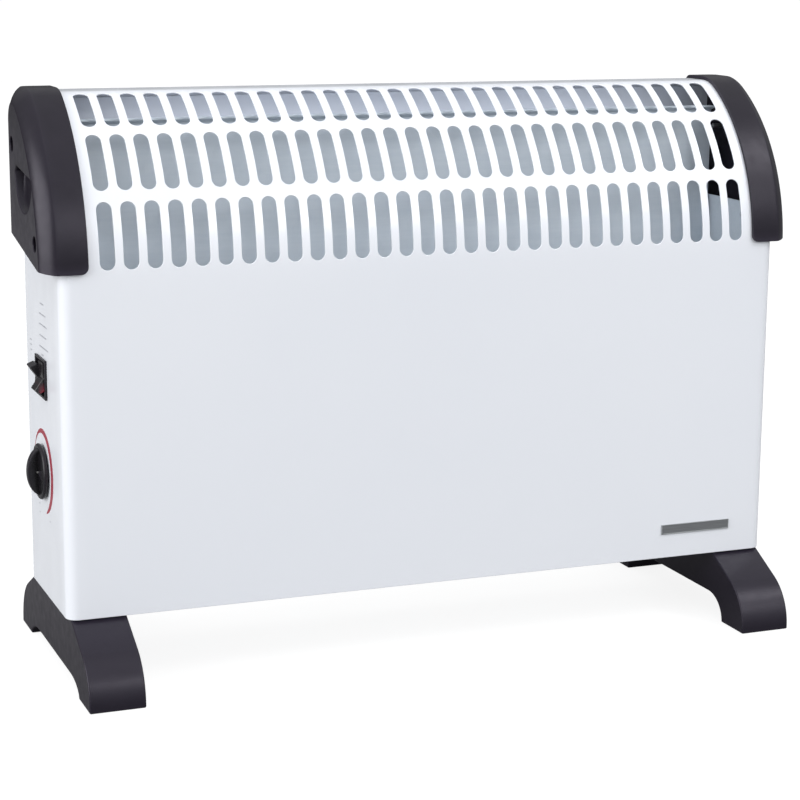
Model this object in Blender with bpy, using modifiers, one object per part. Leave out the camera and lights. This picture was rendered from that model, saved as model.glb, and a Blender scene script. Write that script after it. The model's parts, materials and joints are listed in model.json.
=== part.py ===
"""Fan convector heater: a curved slotted steel casing between two plastic end caps, on two arched feet.

The origin is on the floor under the middle of the heater. +X runs along its length, the front
faces -Y and +Z is up. The controls are on the end at -X. All sizes are in metres.
"""

import math

import bmesh
import bpy
from mathutils import Matrix, Vector

# Overall shape of the casing
SLOT_PITCH = 0.0156
CASING_HALF = 0.2575
CASING_BOTTOM = 0.0483
CASING_TOP = 0.3838
FRONT_Y = -0.0580
BACK_Y = 0.0477
SHEET = 0.001
GAP = 0.0003

# Side outline of the casing: upright front, large arc, short blend, flat top, rounded back edge
ARC_RADIUS = 0.1265
ARC_Y = FRONT_Y + ARC_RADIUS
ARC_Z = 0.2703
BLEND_RADIUS = 0.030
BLEND_Z = CASING_TOP - BLEND_RADIUS
BLEND_Y = ARC_Y - math.sqrt((ARC_RADIUS - BLEND_RADIUS) ** 2 - (BLEND_Z - ARC_Z) ** 2)
BLEND_ANGLE = math.atan2(BLEND_Z - ARC_Z, ARC_Y - BLEND_Y)
BACK_CORNER = 0.006
FRONT_CORNER = 0.008
CORNER_TOP = 0.3045

# Air slots in the casing, each row given by the arc angles of its two ends
SLOT_COLUMNS = 30
SLOT_WIDTH = 0.010
SLOT_ROWS = ((2.7, 22.4), (25.8, 44.3), (47.4, 63.1))
SLOT_END_SEGMENTS = 3

# Side panels end here, inside the caps
SIDE_TOP_FRONT = 0.3155
SIDE_TOP_BACK = 0.3000
STRIP_HALF = 0.2556

# End caps
CAP_INNER_X = 0.2390
CAP_OUTER_X = 0.2690
CAP_PROUD = 0.0025
CAP_WALL = 0.0022
CAP_BOTTOM = 0.2746
CAP_BOTTOM_LEVEL_Y = -0.051
CAP_BOTTOM_SLOPE = 0.180
CAP_RIM = 0.0100
CAP_BACK_ROUND = 0.018
CAP_BACK_CORNER = 0.0085
CAP_CAVITY_X = CASING_HALF + GAP
CAP_UPPER_SCREW = (0.0230, 0.3500)
CAP_LOWER_SCREW = (-0.0405, 0.2924)
COUNTERBORE_RADIUS = 0.0052
COUNTERBORE_FLOOR_X = 0.2605

# Hand grip recess in the side of each cap: a half disc with its flat edge on top
GRIP_Y = -0.0115
GRIP_Z = 0.3345
GRIP_RADIUS = 0.0255
GRIP_TILT = math.radians(6.8)
GRIP_FLOOR_X = 0.2612

# Feet
FOOT_INNER_X = 0.2179
FOOT_OUTER_X = 0.2549
FOOT_HALF_LENGTH = 0.1032
FOOT_TOP = CASING_BOTTOM - GAP
FOOT_TOP_HALF = 0.0560
FOOT_NOSE_RADIUS = 0.036
FOOT_NOSE_Z = 0.002
FOOT_NOSE_ANGLE = math.radians(68)
SOLE_INNER_Y = 0.0727
FOOT_SCREW_Y = 0.030
FOOT_SCREW_X = 0.236

# Controls on the end at -X
SWITCH_Y = 0.0015
SWITCH_Z = 0.1989
BEZEL_SIZE = (0.0305, 0.0266)
ROCKER_PIVOT_X = -0.2551
ROCKER_HALF_HEIGHT = 0.0095
ROCKER_WIDTH = 0.0124
ROCKER_TILT = math.radians(16)
KNOB_Y = 0.0044
KNOB_Z = 0.1343
KNOB_RADIUS = 0.0188

# Inner sheet-metal parts
SHIELD_Y = 0.0040
SHIELD_HALF = 0.2375
SHIELD_TOP = 0.3665
FRAME_X = 0.2400
FRAME_TOP = 0.3015
REAR_PANEL_Y = 0.0450
LEFT_PLATE_X = -0.2140
RIGHT_PLATE_X = 0.2350

# Heating elements and fan
ELEMENT_Y = -0.025
ELEMENT_HEIGHTS = {"upper": 0.215, "lower": 0.165}
FAN_Z = 0.105
FAN_RADIUS = 0.042


def clear_scene():
    for obj in list(bpy.data.objects):
        bpy.data.objects.remove(obj)


def new_collection(name):
    made = bpy.data.collections.new(name)
    bpy.context.scene.collection.children.link(made)
    return made


def material(name, color, roughness, metallic=0.0):
    made = bpy.data.materials.new(name)
    made.use_nodes = True
    shader = made.node_tree.nodes["Principled BSDF"]
    shader.inputs["Base Color"].default_value = (*color, 1)
    shader.inputs["Roughness"].default_value = roughness
    shader.inputs["Metallic"].default_value = metallic
    return made


clear_scene()
PARTS = new_collection("fan_convector_heater")
CUTTERS = new_collection("cutters")

WHITE_ENAMEL = material("white_enamel", (0.83, 0.86, 0.89), 0.28)
CHARCOAL = material("charcoal_plastic", (0.060, 0.055, 0.068), 0.42)
BLACK = material("black_plastic", (0.018, 0.018, 0.020), 0.35)
GALVANISED = material("galvanised_steel", (0.55, 0.59, 0.63), 0.42, 0.85)
STEEL = material("zinc_screw", (0.62, 0.62, 0.60), 0.33, 1.0)
ALUMINIUM = material("element_aluminium", (0.66, 0.67, 0.68), 0.45, 0.9)
CERAMIC = material("insulator_ceramic", (0.82, 0.80, 0.74), 0.55)
COPPER = material("coil_copper", (0.62, 0.26, 0.12), 0.35, 0.9)
CORE_STEEL = material("motor_core", (0.30, 0.31, 0.33), 0.5, 0.8)
WIRE = material("wire_sleeve", (0.75, 0.74, 0.70), 0.6)
BADGE_GREY = material("badge_grey", (0.42, 0.43, 0.45), 0.35, 0.5)
RED_LENS = material("red_lens", (0.22, 0.012, 0.014), 0.2)


def add_object(name, mesh_data, slot_material, collection=PARTS):
    made = bpy.data.objects.new(name, mesh_data)
    mesh_data.materials.append(slot_material)
    collection.objects.link(made)
    if collection is CUTTERS:
        made.hide_render = True
        made.display_type = "WIRE"
    return made


def finish_bmesh(name, shape, slot_material, collection=PARTS, smooth=False):
    bmesh.ops.recalc_face_normals(shape, faces=shape.faces)
    if shape.calc_volume(signed=True) < 0:
        bmesh.ops.reverse_faces(shape, faces=shape.faces)
    data = bpy.data.meshes.new(name)
    shape.to_mesh(data)
    shape.free()
    if smooth:
        data.shade_smooth()
        data.set_sharp_from_angle(angle=math.radians(35))
    return add_object(name, data, slot_material, collection)


def boolean(target, other, operation, solver="EXACT"):
    modifier = target.modifiers.new(other.name, "BOOLEAN")
    modifier.operation = operation
    modifier.object = other
    modifier.solver = solver


def cut(target, *others):
    for other in others:
        boolean(target, other, "DIFFERENCE")


def cut_sheet(target, *others):
    """A slotted sheet is cut with the MANIFOLD solver, because EXACT leaves loose chips in it."""
    for other in others:
        boolean(target, other, "DIFFERENCE", "MANIFOLD")


def join(target, *others):
    for other in others:
        boolean(target, other, "UNION")


def prism_bmesh(outline, low_x, high_x):
    """A (y, z) outline extruded along X."""
    shape = bmesh.new()
    corners = [shape.verts.new((low_x, y, z)) for y, z in outline]
    face = shape.faces.new(corners)
    moved = bmesh.ops.extrude_face_region(shape, geom=[face])["geom"]
    new_corners = [item for item in moved if isinstance(item, bmesh.types.BMVert)]
    bmesh.ops.translate(shape, verts=new_corners, vec=(high_x - low_x, 0, 0))
    return shape


def prism(name, outline, low_x, high_x, slot_material, collection=PARTS):
    return finish_bmesh(name, prism_bmesh(outline, low_x, high_x), slot_material, collection)


def box(name, low, high, slot_material, collection=PARTS):
    shape = bmesh.new()
    bmesh.ops.create_cube(shape, size=1)
    low, high = Vector(low), Vector(high)
    bmesh.ops.scale(shape, verts=shape.verts, vec=high - low)
    bmesh.ops.translate(shape, verts=shape.verts, vec=(low + high) / 2)
    return finish_bmesh(name, shape, slot_material, collection)


def rod(name, start, end, radius, slot_material, collection=PARTS, segments=16):
    """A cylinder between two points."""
    start, end = Vector(start), Vector(end)
    shape = bmesh.new()
    bmesh.ops.create_cone(
        shape,
        cap_ends=True,
        segments=segments,
        radius1=radius,
        radius2=radius,
        depth=(end - start).length,
    )
    turn = Vector((0, 0, 1)).rotation_difference(end - start).to_matrix().to_4x4()
    shape.transform(Matrix.Translation((start + end) / 2) @ turn)
    return finish_bmesh(name, shape, slot_material, collection, smooth=True)


def turned(name, profile, location, outward, slot_material, steps=16):
    """A (radius, height) profile turned about its own Z axis, which points along outward."""
    data = bpy.data.meshes.new(name)
    points = [(radius, 0, height) for radius, height in profile]
    data.from_pydata(points, [(i, i + 1) for i in range(len(points) - 1)], [])
    made = add_object(name, data, slot_material)
    made.location = location
    made.rotation_mode = "QUATERNION"
    made.rotation_quaternion = Vector((0, 0, 1)).rotation_difference(Vector(outward))
    screw = made.modifiers.new("turn", "SCREW")
    screw.angle = math.tau
    screw.steps = steps
    screw.render_steps = steps
    screw.use_merge_vertices = True
    screw.merge_threshold = 0.00001
    screw.use_smooth_shade = False
    return made


def arc(centre_y, centre_z, radius, first, last, segments):
    """Points of an arc whose angle 0 points towards -Y and 90 degrees points up."""
    for i in range(segments + 1):
        angle = first + (last - first) * i / segments
        yield centre_y - radius * math.cos(angle), centre_z + radius * math.sin(angle)


def body_outline(offset, bottom, back_inset=0.0, back_corner=BACK_CORNER, back_bottom=None):
    """Side outline of the casing, moved out by offset, from the front's foot to the back's foot."""
    radius = ARC_RADIUS + offset
    arc_start = math.asin(max(0.0, bottom - ARC_Z) / radius)
    back = BACK_Y + offset - back_inset
    corner_y = back - back_corner
    corner_z = CASING_TOP + offset - back_corner
    points = [(FRONT_Y - offset, bottom)] if bottom < ARC_Z else []
    points += arc(ARC_Y, ARC_Z, radius, arc_start, BLEND_ANGLE, 9)
    points += list(arc(BLEND_Y, BLEND_Z, BLEND_RADIUS + offset, BLEND_ANGLE, math.pi / 2, 3))[1:]
    points += arc(corner_y, corner_z, back_corner, math.pi / 2, math.pi, 3)
    points.append((back, bottom if back_bottom is None else back_bottom))
    return points


def casing_block(name, offset, bottom, collection):
    """A solid the size of the casing moved out by offset, its upright front edges rounded."""
    half = CASING_HALF + offset
    shape = prism_bmesh(body_outline(offset, bottom), -half, half)
    upright = [
        edge
        for edge in shape.edges
        if all(abs(abs(v.co.x) - half) < 1e-6 and v.co.y < 0 for v in edge.verts)
        and max(v.co.z for v in edge.verts) < CORNER_TOP
    ]
    bmesh.ops.bevel(
        shape,
        geom=upright,
        offset=FRONT_CORNER + offset,
        offset_type="OFFSET",
        segments=4,
        profile=0.5,
        affect="EDGES",
    )
    return finish_bmesh(name, shape, WHITE_ENAMEL, collection)


def stadium(width, length, end_segments):
    """Outline of a slot with half-round ends, its length along the second axis."""
    radius = width / 2
    straight = length / 2 - radius
    points = []
    for centre, first in ((straight, 0.0), (-straight, math.pi)):
        for i in range(end_segments + 1):
            angle = first + math.pi * i / end_segments
            points.append((radius * math.cos(angle), centre + radius * math.sin(angle)))
    return points


def slot_cutters(name, width, length, depth, columns, pitch, matrix, end_segments):
    """A row of slot-shaped cutters, their depth along the local Z axis of matrix."""
    shape = bmesh.new()
    face = shape.faces.new(
        [shape.verts.new((x, y, depth[0])) for x, y in stadium(width, length, end_segments)]
    )
    moved = bmesh.ops.extrude_face_region(shape, geom=[face])["geom"]
    top = [item for item in moved if isinstance(item, bmesh.types.BMVert)]
    bmesh.ops.translate(shape, verts=top, vec=(0, 0, depth[1] - depth[0]))
    shape.transform(matrix)
    bmesh.ops.translate(shape, verts=shape.verts, vec=(-(columns - 1) / 2 * pitch, 0, 0))
    made = finish_bmesh(name, shape, BLACK, CUTTERS)
    row = made.modifiers.new("row", "ARRAY")
    row.count = columns
    row.use_relative_offset = False
    row.use_constant_offset = True
    row.constant_offset_displace = (pitch, 0, 0)
    return made


def casing_slot_row(number, low_angle, high_angle):
    middle = math.radians(low_angle + high_angle) / 2
    length = 2 * ARC_RADIUS * math.sin(math.radians(high_angle - low_angle) / 2)
    across, along, outward = (
        Vector((1, 0, 0)),
        Vector((0, math.sin(middle), math.cos(middle))),
        Vector((0, -math.cos(middle), math.sin(middle))),
    )
    centre = Vector((0, ARC_Y, ARC_Z)) + outward * ARC_RADIUS
    matrix = Matrix.Translation(centre) @ Matrix((across, along, outward)).transposed().to_4x4()
    return slot_cutters(
        f"casing_slots_{number}",
        SLOT_WIDTH,
        length,
        (-0.012, 0.006),
        SLOT_COLUMNS,
        SLOT_PITCH,
        matrix,
        SLOT_END_SEGMENTS,
    )


def front_casing():
    casing = casing_block("front_casing", 0.0, CASING_BOTTOM, PARTS)
    hollow = casing_block("casing_hollow", -SHEET, CASING_BOTTOM - 0.005, CUTTERS)
    flange_bottom = CASING_TOP - 0.014
    back_opening = box(
        "casing_back_opening",
        (-CASING_HALF + SHEET, 0.030, CASING_BOTTOM - 0.005),
        (CASING_HALF - SHEET, BACK_Y + 0.005, flange_bottom),
        BLACK,
        CUTTERS,
    )
    cut_sheet(casing, hollow, back_opening)
    side_cut = [
        (FRONT_Y - 0.01, SIDE_TOP_FRONT),
        (-0.004, SIDE_TOP_FRONT),
        (0.012, SIDE_TOP_BACK),
        (BACK_Y + 0.01, SIDE_TOP_BACK),
        (BACK_Y + 0.01, CASING_TOP + 0.01),
        (FRONT_Y - 0.01, CASING_TOP + 0.01),
    ]
    outer = CASING_HALF + 0.005
    cut_sheet(casing, prism("left_side_cut", side_cut, -outer, -STRIP_HALF, BLACK, CUTTERS))
    cut_sheet(casing, prism("right_side_cut", side_cut, STRIP_HALF, outer, BLACK, CUTTERS))
    for number, (low, high) in enumerate(SLOT_ROWS):
        cut_sheet(casing, casing_slot_row(number, low, high))
    outside, inside = CASING_HALF + 0.003, CASING_HALF - 0.004
    half_y, half_z = BEZEL_SIZE[0] / 2 - 0.0009, BEZEL_SIZE[1] / 2 - 0.0009
    switch_hole = box(
        "switch_hole",
        (-outside, SWITCH_Y - half_y, SWITCH_Z - half_z),
        (-inside, SWITCH_Y + half_y, SWITCH_Z + half_z),
        BLACK,
        CUTTERS,
    )
    knob_hole = rod(
        "knob_hole",
        (-outside, KNOB_Y, KNOB_Z),
        (-inside, KNOB_Y, KNOB_Z),
        0.0052,
        BLACK,
        CUTTERS,
    )
    cut_sheet(casing, switch_hole, knob_hole)
    screw_y, screw_z = CAP_LOWER_SCREW
    for side in (-1, 1):
        hole = rod(
            f"casing_screw_hole_{side}",
            (side * outside, screw_y, screw_z),
            (side * inside, screw_y, screw_z),
            0.0026,
            BLACK,
            CUTTERS,
            12,
        )
        cut_sheet(casing, hole)
    return casing


def cap_bottom(y, inset):
    """Height of the cap's lower edge: level at the front, then rising to the back."""
    return CAP_BOTTOM + inset + max(0.0, y - CAP_BOTTOM_LEVEL_Y) * CAP_BOTTOM_SLOPE


def cap_section(x, inset, back_inset, bottom_inset, back_corner):
    """One outline of the cap at x, as 3-D points."""
    back = BACK_Y - back_inset
    offset = CAP_PROUD - inset
    room_for_corner = back - BLEND_Y - 0.0005
    points = body_outline(
        offset,
        CAP_BOTTOM + bottom_inset,
        offset + back_inset,
        min(back_corner, room_for_corner),
        cap_bottom(back, bottom_inset),
    )
    level_end = max(CAP_BOTTOM_LEVEL_Y, points[0][0] + 0.002)
    points.append((level_end, CAP_BOTTOM + bottom_inset))
    return [Vector((x, y, z)) for y, z in points]


def loft(name, sections, slot_material, collection=PARTS):
    """A closed solid through outlines that all have the same number of points."""
    shape = bmesh.new()
    rings = [[shape.verts.new(point) for point in section] for section in sections]
    for near, far in zip(rings, rings[1:]):
        for i, corner in enumerate(near):
            before = i - 1
            shape.faces.new((near[before], corner, far[i], far[before]))
    shape.faces.new(reversed(rings[0]))
    shape.faces.new(rings[-1])
    return finish_bmesh(name, shape, slot_material, collection)


def back_round(x):
    """How far the cap's back face is rounded in at x."""
    reach = max(0.0, x - (CAP_OUTER_X - CAP_BACK_ROUND))
    return CAP_BACK_ROUND - math.sqrt(max(0.0, CAP_BACK_ROUND**2 - reach**2))


def cap_outer_sections(side):
    sections = [
        cap_section(side * CAP_INNER_X, 0, 0, 0, CAP_BACK_CORNER),
        cap_section(side * (CAP_OUTER_X - CAP_BACK_ROUND), 0, 0, 0, CAP_BACK_CORNER),
    ]
    for step in range(4):
        angle = math.radians(30 * step)
        x = CAP_OUTER_X - CAP_RIM * (1 - math.sin(angle))
        inset = CAP_RIM * (1 - math.cos(angle))
        back = back_round(x)
        corner = CAP_BACK_CORNER + back * 0.7
        sections.append(cap_section(side * x, inset, back, 0.15 * inset, corner))
    return sections


def cap_pocket_sections(side):
    return [
        cap_section(side * (CAP_CAVITY_X - 0.0010), CAP_WALL, 0.0065, 0.0025, 0.010),
        cap_section(side * 0.2620, CAP_WALL + 0.0020, 0.0085, 0.0025, 0.012),
        cap_section(side * 0.2664, CAP_RIM + 0.0010, 0.0220, 0.0035, 0.020),
    ]


def grip_outline(grow):
    """Half disc of the hand grip in (y, z), grown outwards on every side."""
    radius = GRIP_RADIUS + grow
    points = []
    for i in range(11):
        angle = math.pi + GRIP_TILT + math.pi * i / 10
        points.append((GRIP_Y + radius * math.cos(angle), GRIP_Z + radius * math.sin(angle)))
    if grow:
        points.append((points[-1][0], points[-1][1] + grow))
        points.append((points[0][0], points[0][1] + grow))
    return points


def end_cap(name, side):
    cap = loft(name, cap_outer_sections(side), CHARCOAL)
    casing_room = prism(
        f"{name}_casing_room",
        body_outline(GAP, CAP_BOTTOM - 0.01),
        *sorted((side * (CAP_INNER_X - 0.005), side * CAP_CAVITY_X)),
        BLACK,
        CUTTERS,
    )
    cut(cap, casing_room, loft(f"{name}_pocket", cap_pocket_sections(side), BLACK, CUTTERS))
    cup = prism(
        f"{name}_grip_cup",
        grip_outline(0.002),
        *sorted((side * (CAP_OUTER_X - 0.001), side * (GRIP_FLOOR_X - 0.002))),
        CHARCOAL,
        CUTTERS,
    )
    join(cap, cup)
    recess = prism(
        f"{name}_grip_recess",
        grip_outline(0.0),
        *sorted((side * (CAP_OUTER_X + 0.002), side * GRIP_FLOOR_X)),
        CHARCOAL,
        CUTTERS,
    )
    cut(cap, recess)
    boss_ends = {"upper": FRAME_X + SHEET + 0.0005, "lower": CASING_HALF + 0.0006}
    for place, (y, z) in (("upper", CAP_UPPER_SCREW), ("lower", CAP_LOWER_SCREW)):
        boss_end = side * boss_ends[place]
        join(
            cap,
            rod(
                f"{name}_{place}_boss",
                (side * (CAP_OUTER_X - 0.001), y, z),
                (boss_end, y, z),
                COUNTERBORE_RADIUS + 0.0018,
                CHARCOAL,
                CUTTERS,
            ),
        )
        counterbore = rod(
            f"{name}_{place}_counterbore",
            (side * (CAP_OUTER_X + 0.002), y, z),
            (side * COUNTERBORE_FLOOR_X, y, z),
            COUNTERBORE_RADIUS,
            CHARCOAL,
            CUTTERS,
        )
        shank_hole = rod(
            f"{name}_{place}_shank_hole",
            (side * CAP_OUTER_X, y, z),
            (boss_end - side * 0.002, y, z),
            0.0023,
            CHARCOAL,
            CUTTERS,
            12,
        )
        cut(cap, counterbore, shank_hole)
    return cap


def foot_half_outline(underside, ramp_end):
    """Front half of a foot's side outline, from the top of the nose to the middle of the arch."""
    nose_y = FOOT_HALF_LENGTH - FOOT_NOSE_RADIUS
    points = [(-FOOT_TOP_HALF, FOOT_TOP)]
    points += arc(-nose_y, FOOT_NOSE_Z, FOOT_NOSE_RADIUS, FOOT_NOSE_ANGLE, 0, 5)
    points.append((-FOOT_HALF_LENGTH, 0))
    reach = SOLE_INNER_Y - ramp_end
    for i in range(5):
        angle = math.radians(22.5 * i)
        points.append((-ramp_end - reach * math.cos(angle), underside * math.sin(angle)))
    return points


def foot_section(x, underside, ramp_end):
    front = foot_half_outline(underside, ramp_end)
    back = [(-y, z) for y, z in reversed(front)]
    return [Vector((x, y, z)) for y, z in front + back]


def foot(name, side):
    made = loft(
        name,
        [
            foot_section(side * FOOT_INNER_X, 0.0180, 0.052),
            foot_section(side * FOOT_OUTER_X, 0.0096, 0.048),
        ],
        CHARCOAL,
    )
    for y in (-FOOT_SCREW_Y, FOOT_SCREW_Y):
        x = side * FOOT_SCREW_X
        recess = rod(f"{name}_recess_{y}", (x, y, 0), (x, y, 0.040), 0.0052, BLACK, CUTTERS, 12)
        hole = rod(f"{name}_hole_{y}", (x, y, 0.03), (x, y, 0.05), 0.0023, BLACK, CUTTERS, 8)
        cut(made, recess, hole)
    return made


def pan_screw(name, seat, outward, head_radius, head_height, shank_radius, shank_length):
    """A pan-head screw whose head rests at seat and points along outward."""
    profile = [
        (0, head_height),
        (head_radius * 0.7, head_height),
        (head_radius, head_height * 0.45),
        (head_radius, 0),
        (shank_radius, 0),
        (shank_radius, -shank_length),
        (0, -shank_length - shank_radius),
    ]
    return turned(name, profile, seat, outward, STEEL, 10)


def cap_screws():
    for side_name, side in (("left", -1), ("right", 1)):
        for place, (y, z) in (("upper", CAP_UPPER_SCREW), ("lower", CAP_LOWER_SCREW)):
            seat = (side * (COUNTERBORE_FLOOR_X + GAP), y, z)
            pan_screw(
                f"{side_name}_cap_{place}_screw", seat, (side, 0, 0), 0.0040, 0.0025, 0.0018, 0.0235
            )


def foot_screws():
    for side_name, side in (("left", -1), ("right", 1)):
        for place, y in (("front", -FOOT_SCREW_Y), ("rear", FOOT_SCREW_Y)):
            seat = (side * FOOT_SCREW_X, y, 0.040 - GAP)
            pan_screw(
                f"{side_name}_foot_{place}_screw", seat, (0, 0, -1), 0.0040, 0.0025, 0.0018, 0.0125
            )


REAR_SCREWS = {
    "rear_screw_lower_left": (-0.234, 0.075),
    "rear_screw_lower_right": (0.234, 0.075),
    "rear_screw_upper_left": (-0.234, 0.275),
    "rear_screw_upper_right": (0.234, 0.275),
}


def rear_panel_screws():
    for name, (x, z) in REAR_SCREWS.items():
        seat = (x, REAR_PANEL_Y + SHEET + GAP, z)
        pan_screw(name, seat, (0, 1, 0), 0.0035, 0.0020, 0.0014, 0.0060)


GLAND_X = -0.205
GLAND_Z = 0.085
GLAND_HOLE = 0.0066


def rear_panel():
    half = CASING_HALF - SHEET - GAP
    panel = box(
        "rear_panel",
        (-half, REAR_PANEL_Y, CASING_BOTTOM + 0.0015),
        (half, REAR_PANEL_Y + SHEET, CASING_TOP - 0.0063),
        WHITE_ENAMEL,
    )
    upright = Matrix.Rotation(math.radians(90), 4, "X")
    for number, height in enumerate((0.120, 0.182)):
        matrix = Matrix.Translation((0.012, REAR_PANEL_Y, height)) @ upright
        slots = slot_cutters(
            f"rear_slots_{number}", 0.007, 0.046, (-0.005, 0.005), 17, 0.0235, matrix, 3
        )
        cut_sheet(panel, slots)
    near, far = REAR_PANEL_Y - 0.004, REAR_PANEL_Y + 0.004
    for name, (x, z) in REAR_SCREWS.items():
        hole = rod(f"{name}_hole", (x, near, z), (x, far, z), 0.0018, BLACK, CUTTERS, 8)
        cut_sheet(panel, hole)
    gland_hole = rod(
        "gland_hole", (GLAND_X, near, GLAND_Z), (GLAND_X, far, GLAND_Z), GLAND_HOLE, BLACK, CUTTERS
    )
    cut_sheet(panel, gland_hole)
    return panel


def base_panel():
    half = CASING_HALF - SHEET - GAP
    front = FRONT_Y + SHEET + GAP
    low = CASING_BOTTOM + 0.0006
    shape = bmesh.new()
    bmesh.ops.create_cube(shape, size=1)
    size = Vector((2 * half, REAR_PANEL_Y - GAP - front, SHEET))
    bmesh.ops.scale(shape, verts=shape.verts, vec=size)
    middle = Vector((0, (front + REAR_PANEL_Y - GAP) / 2, low + SHEET / 2))
    bmesh.ops.translate(shape, verts=shape.verts, vec=middle)
    corners = [
        edge
        for edge in shape.edges
        if all(v.co.y < 0 for v in edge.verts)
        and abs(edge.verts[0].co.z - edge.verts[1].co.z) > SHEET / 2
    ]
    bmesh.ops.bevel(
        shape, geom=corners, offset=FRONT_CORNER, segments=3, profile=0.5, affect="EDGES"
    )
    panel = finish_bmesh("base_panel", shape, GALVANISED)
    for number, y in enumerate((-0.030, 0.020)):
        matrix = Matrix.Translation((0, y, low))
        slots = slot_cutters(
            f"base_slots_{number}", 0.007, 0.034, (-0.005, 0.006), 17, 0.0235, matrix, 3
        )
        cut_sheet(panel, slots)
    for side in (-1, 1):
        for y in (-FOOT_SCREW_Y, FOOT_SCREW_Y):
            x = side * FOOT_SCREW_X
            start, end = (x, y, low - 0.003), (x, y, low + 0.004)
            cut_sheet(panel, rod(f"base_hole_{side}_{y}", start, end, 0.0023, BLACK, CUTTERS, 8))
    return panel


def heat_shield():
    """Upright deflector behind the elements and slots, with lips at its top and bottom."""
    outline = [
        (SHIELD_Y, 0.0520),
        (SHIELD_Y, SHIELD_TOP - 0.0035),
        (SHIELD_Y - 0.006, SHIELD_TOP - 0.0010),
        (SHIELD_Y - 0.006, SHIELD_TOP),
        (SHIELD_Y, SHIELD_TOP),
        (SHIELD_Y + 0.0008, SHIELD_TOP),
        (SHIELD_Y + 0.0008, 0.0528),
        (SHIELD_Y + 0.0100, 0.0528),
        (SHIELD_Y + 0.0100, 0.0520),
    ]
    shield = prism("heat_shield", outline, -SHIELD_HALF, SHIELD_HALF, GALVANISED)
    controls = box(
        "shield_notch",
        (-SHIELD_HALF - 0.01, SHIELD_Y - 0.01, 0.045),
        (LEFT_PLATE_X - 0.0014, SHIELD_Y + 0.02, 0.2600),
        BLACK,
        CUTTERS,
    )
    fan_hole = rod(
        "fan_hole",
        (0, SHIELD_Y - 0.01, FAN_Z),
        (0, SHIELD_Y + 0.01, FAN_Z),
        FAN_RADIUS + 0.003,
        BLACK,
        CUTTERS,
        28,
    )
    cut(shield, controls, fan_hole)
    return shield


def side_frame(name, side):
    """Upright plate inside each end: it carries the cap's screws and the rear panel."""
    rear = REAR_PANEL_Y - 0.0007
    outline = [
        (-0.046, 0.060),
        (rear, 0.060),
        (rear, FRAME_TOP),
        (0.036, FRAME_TOP),
        (0.036, 0.361),
        (0.014, 0.361),
        (0.014, FRAME_TOP),
        (-0.046, FRAME_TOP),
    ]
    near, far = sorted((side * FRAME_X, side * (FRAME_X + SHEET)))
    frame = prism(name, outline, near, far, GALVANISED)
    flange_near, flange_far = sorted((side * 0.228, side * (FRAME_X + SHEET / 2)))
    flange = box(
        f"{name}_flange",
        (flange_near, rear - SHEET, 0.060),
        (flange_far, rear, 0.290),
        GALVANISED,
        CUTTERS,
    )
    join(frame, flange)
    for place, (y, z) in (("upper", CAP_UPPER_SCREW), ("lower", CAP_LOWER_SCREW)):
        start, end = (near - 0.003, y, z), (far + 0.003, y, z)
        cut(frame, rod(f"{name}_{place}_hole", start, end, 0.0022, BLACK, CUTTERS, 8))
    for z in (0.075, 0.275):
        start, end = (side * 0.234, rear - 0.004, z), (side * 0.234, rear + 0.004, z)
        cut(frame, rod(f"{name}_rear_hole_{z}", start, end, 0.0018, BLACK, CUTTERS, 8))
    return frame


def control_windows(frame):
    """Openings in the left frame for the thermostat and the switch."""
    for window, middle_y, middle_z, half_y, half_z in (
        ("switch_window", SWITCH_Y, SWITCH_Z, 0.0160, 0.0150),
        ("thermostat_window", KNOB_Y, KNOB_Z, 0.0170, 0.0170),
    ):
        cut(
            frame,
            box(
                window,
                (-FRAME_X - 0.005, middle_y - half_y, middle_z - half_z),
                (-FRAME_X + 0.005, middle_y + half_y, middle_z + half_z),
                BLACK,
                CUTTERS,
            ),
        )


def element_plate(name, x):
    front, back = FRONT_Y + 0.0035, SHIELD_Y - GAP
    plate = box(name, (x, front, 0.055), (x + SHEET, back, 0.245), GALVANISED)
    for level, z in ELEMENT_HEIGHTS.items():
        start, end = (x - 0.003, ELEMENT_Y, z), (x + 0.004, ELEMENT_Y, z)
        cut(plate, rod(f"{name}_{level}_hole", start, end, 0.0075, BLACK, CUTTERS, 12))
    return plate


def fin_outline(height):
    """Cross-section of a heating element: a round core with four diagonal fins."""
    points = []
    for quarter in range(4):
        middle = math.radians(45 + 90 * quarter)
        for radius, spread in ((0.0055, 30), (0.0210, 4.2), (0.0210, -4.2), (0.0055, -30)):
            angle = middle - math.radians(spread)
            points.append(
                (ELEMENT_Y + radius * math.cos(angle), height + radius * math.sin(angle))
            )
    return points


def heating_elements():
    left_end, right_end = LEFT_PLATE_X + 0.010, RIGHT_PLATE_X - 0.009
    for level, z in ELEMENT_HEIGHTS.items():
        prism(f"{level}_heating_element", fin_outline(z), left_end, right_end, ALUMINIUM)
        for side_name, start, end in (
            ("left", left_end - GAP, LEFT_PLATE_X - 0.006),
            ("right", right_end + GAP, RIGHT_PLATE_X + 0.0040),
        ):
            name = f"{level}_{side_name}_insulator"
            rod(name, (start, ELEMENT_Y, z), (end, ELEMENT_Y, z), 0.0070, CERAMIC, PARTS, 12)


def thermal_cutout():
    x, z = -0.140, 0.247
    near = SHIELD_Y - GAP
    profile = [
        (0, 0.0115),
        (0.0050, 0.0115),
        (0.0050, 0.0095),
        (0.0080, 0.0095),
        (0.0080, 0.0035),
        (0.0088, 0.0035),
        (0.0088, 0.0),
        (0, 0.0),
    ]
    turned("thermal_cutout", profile, (x, near, z), (0, -1, 0), BLACK, 14)


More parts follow.
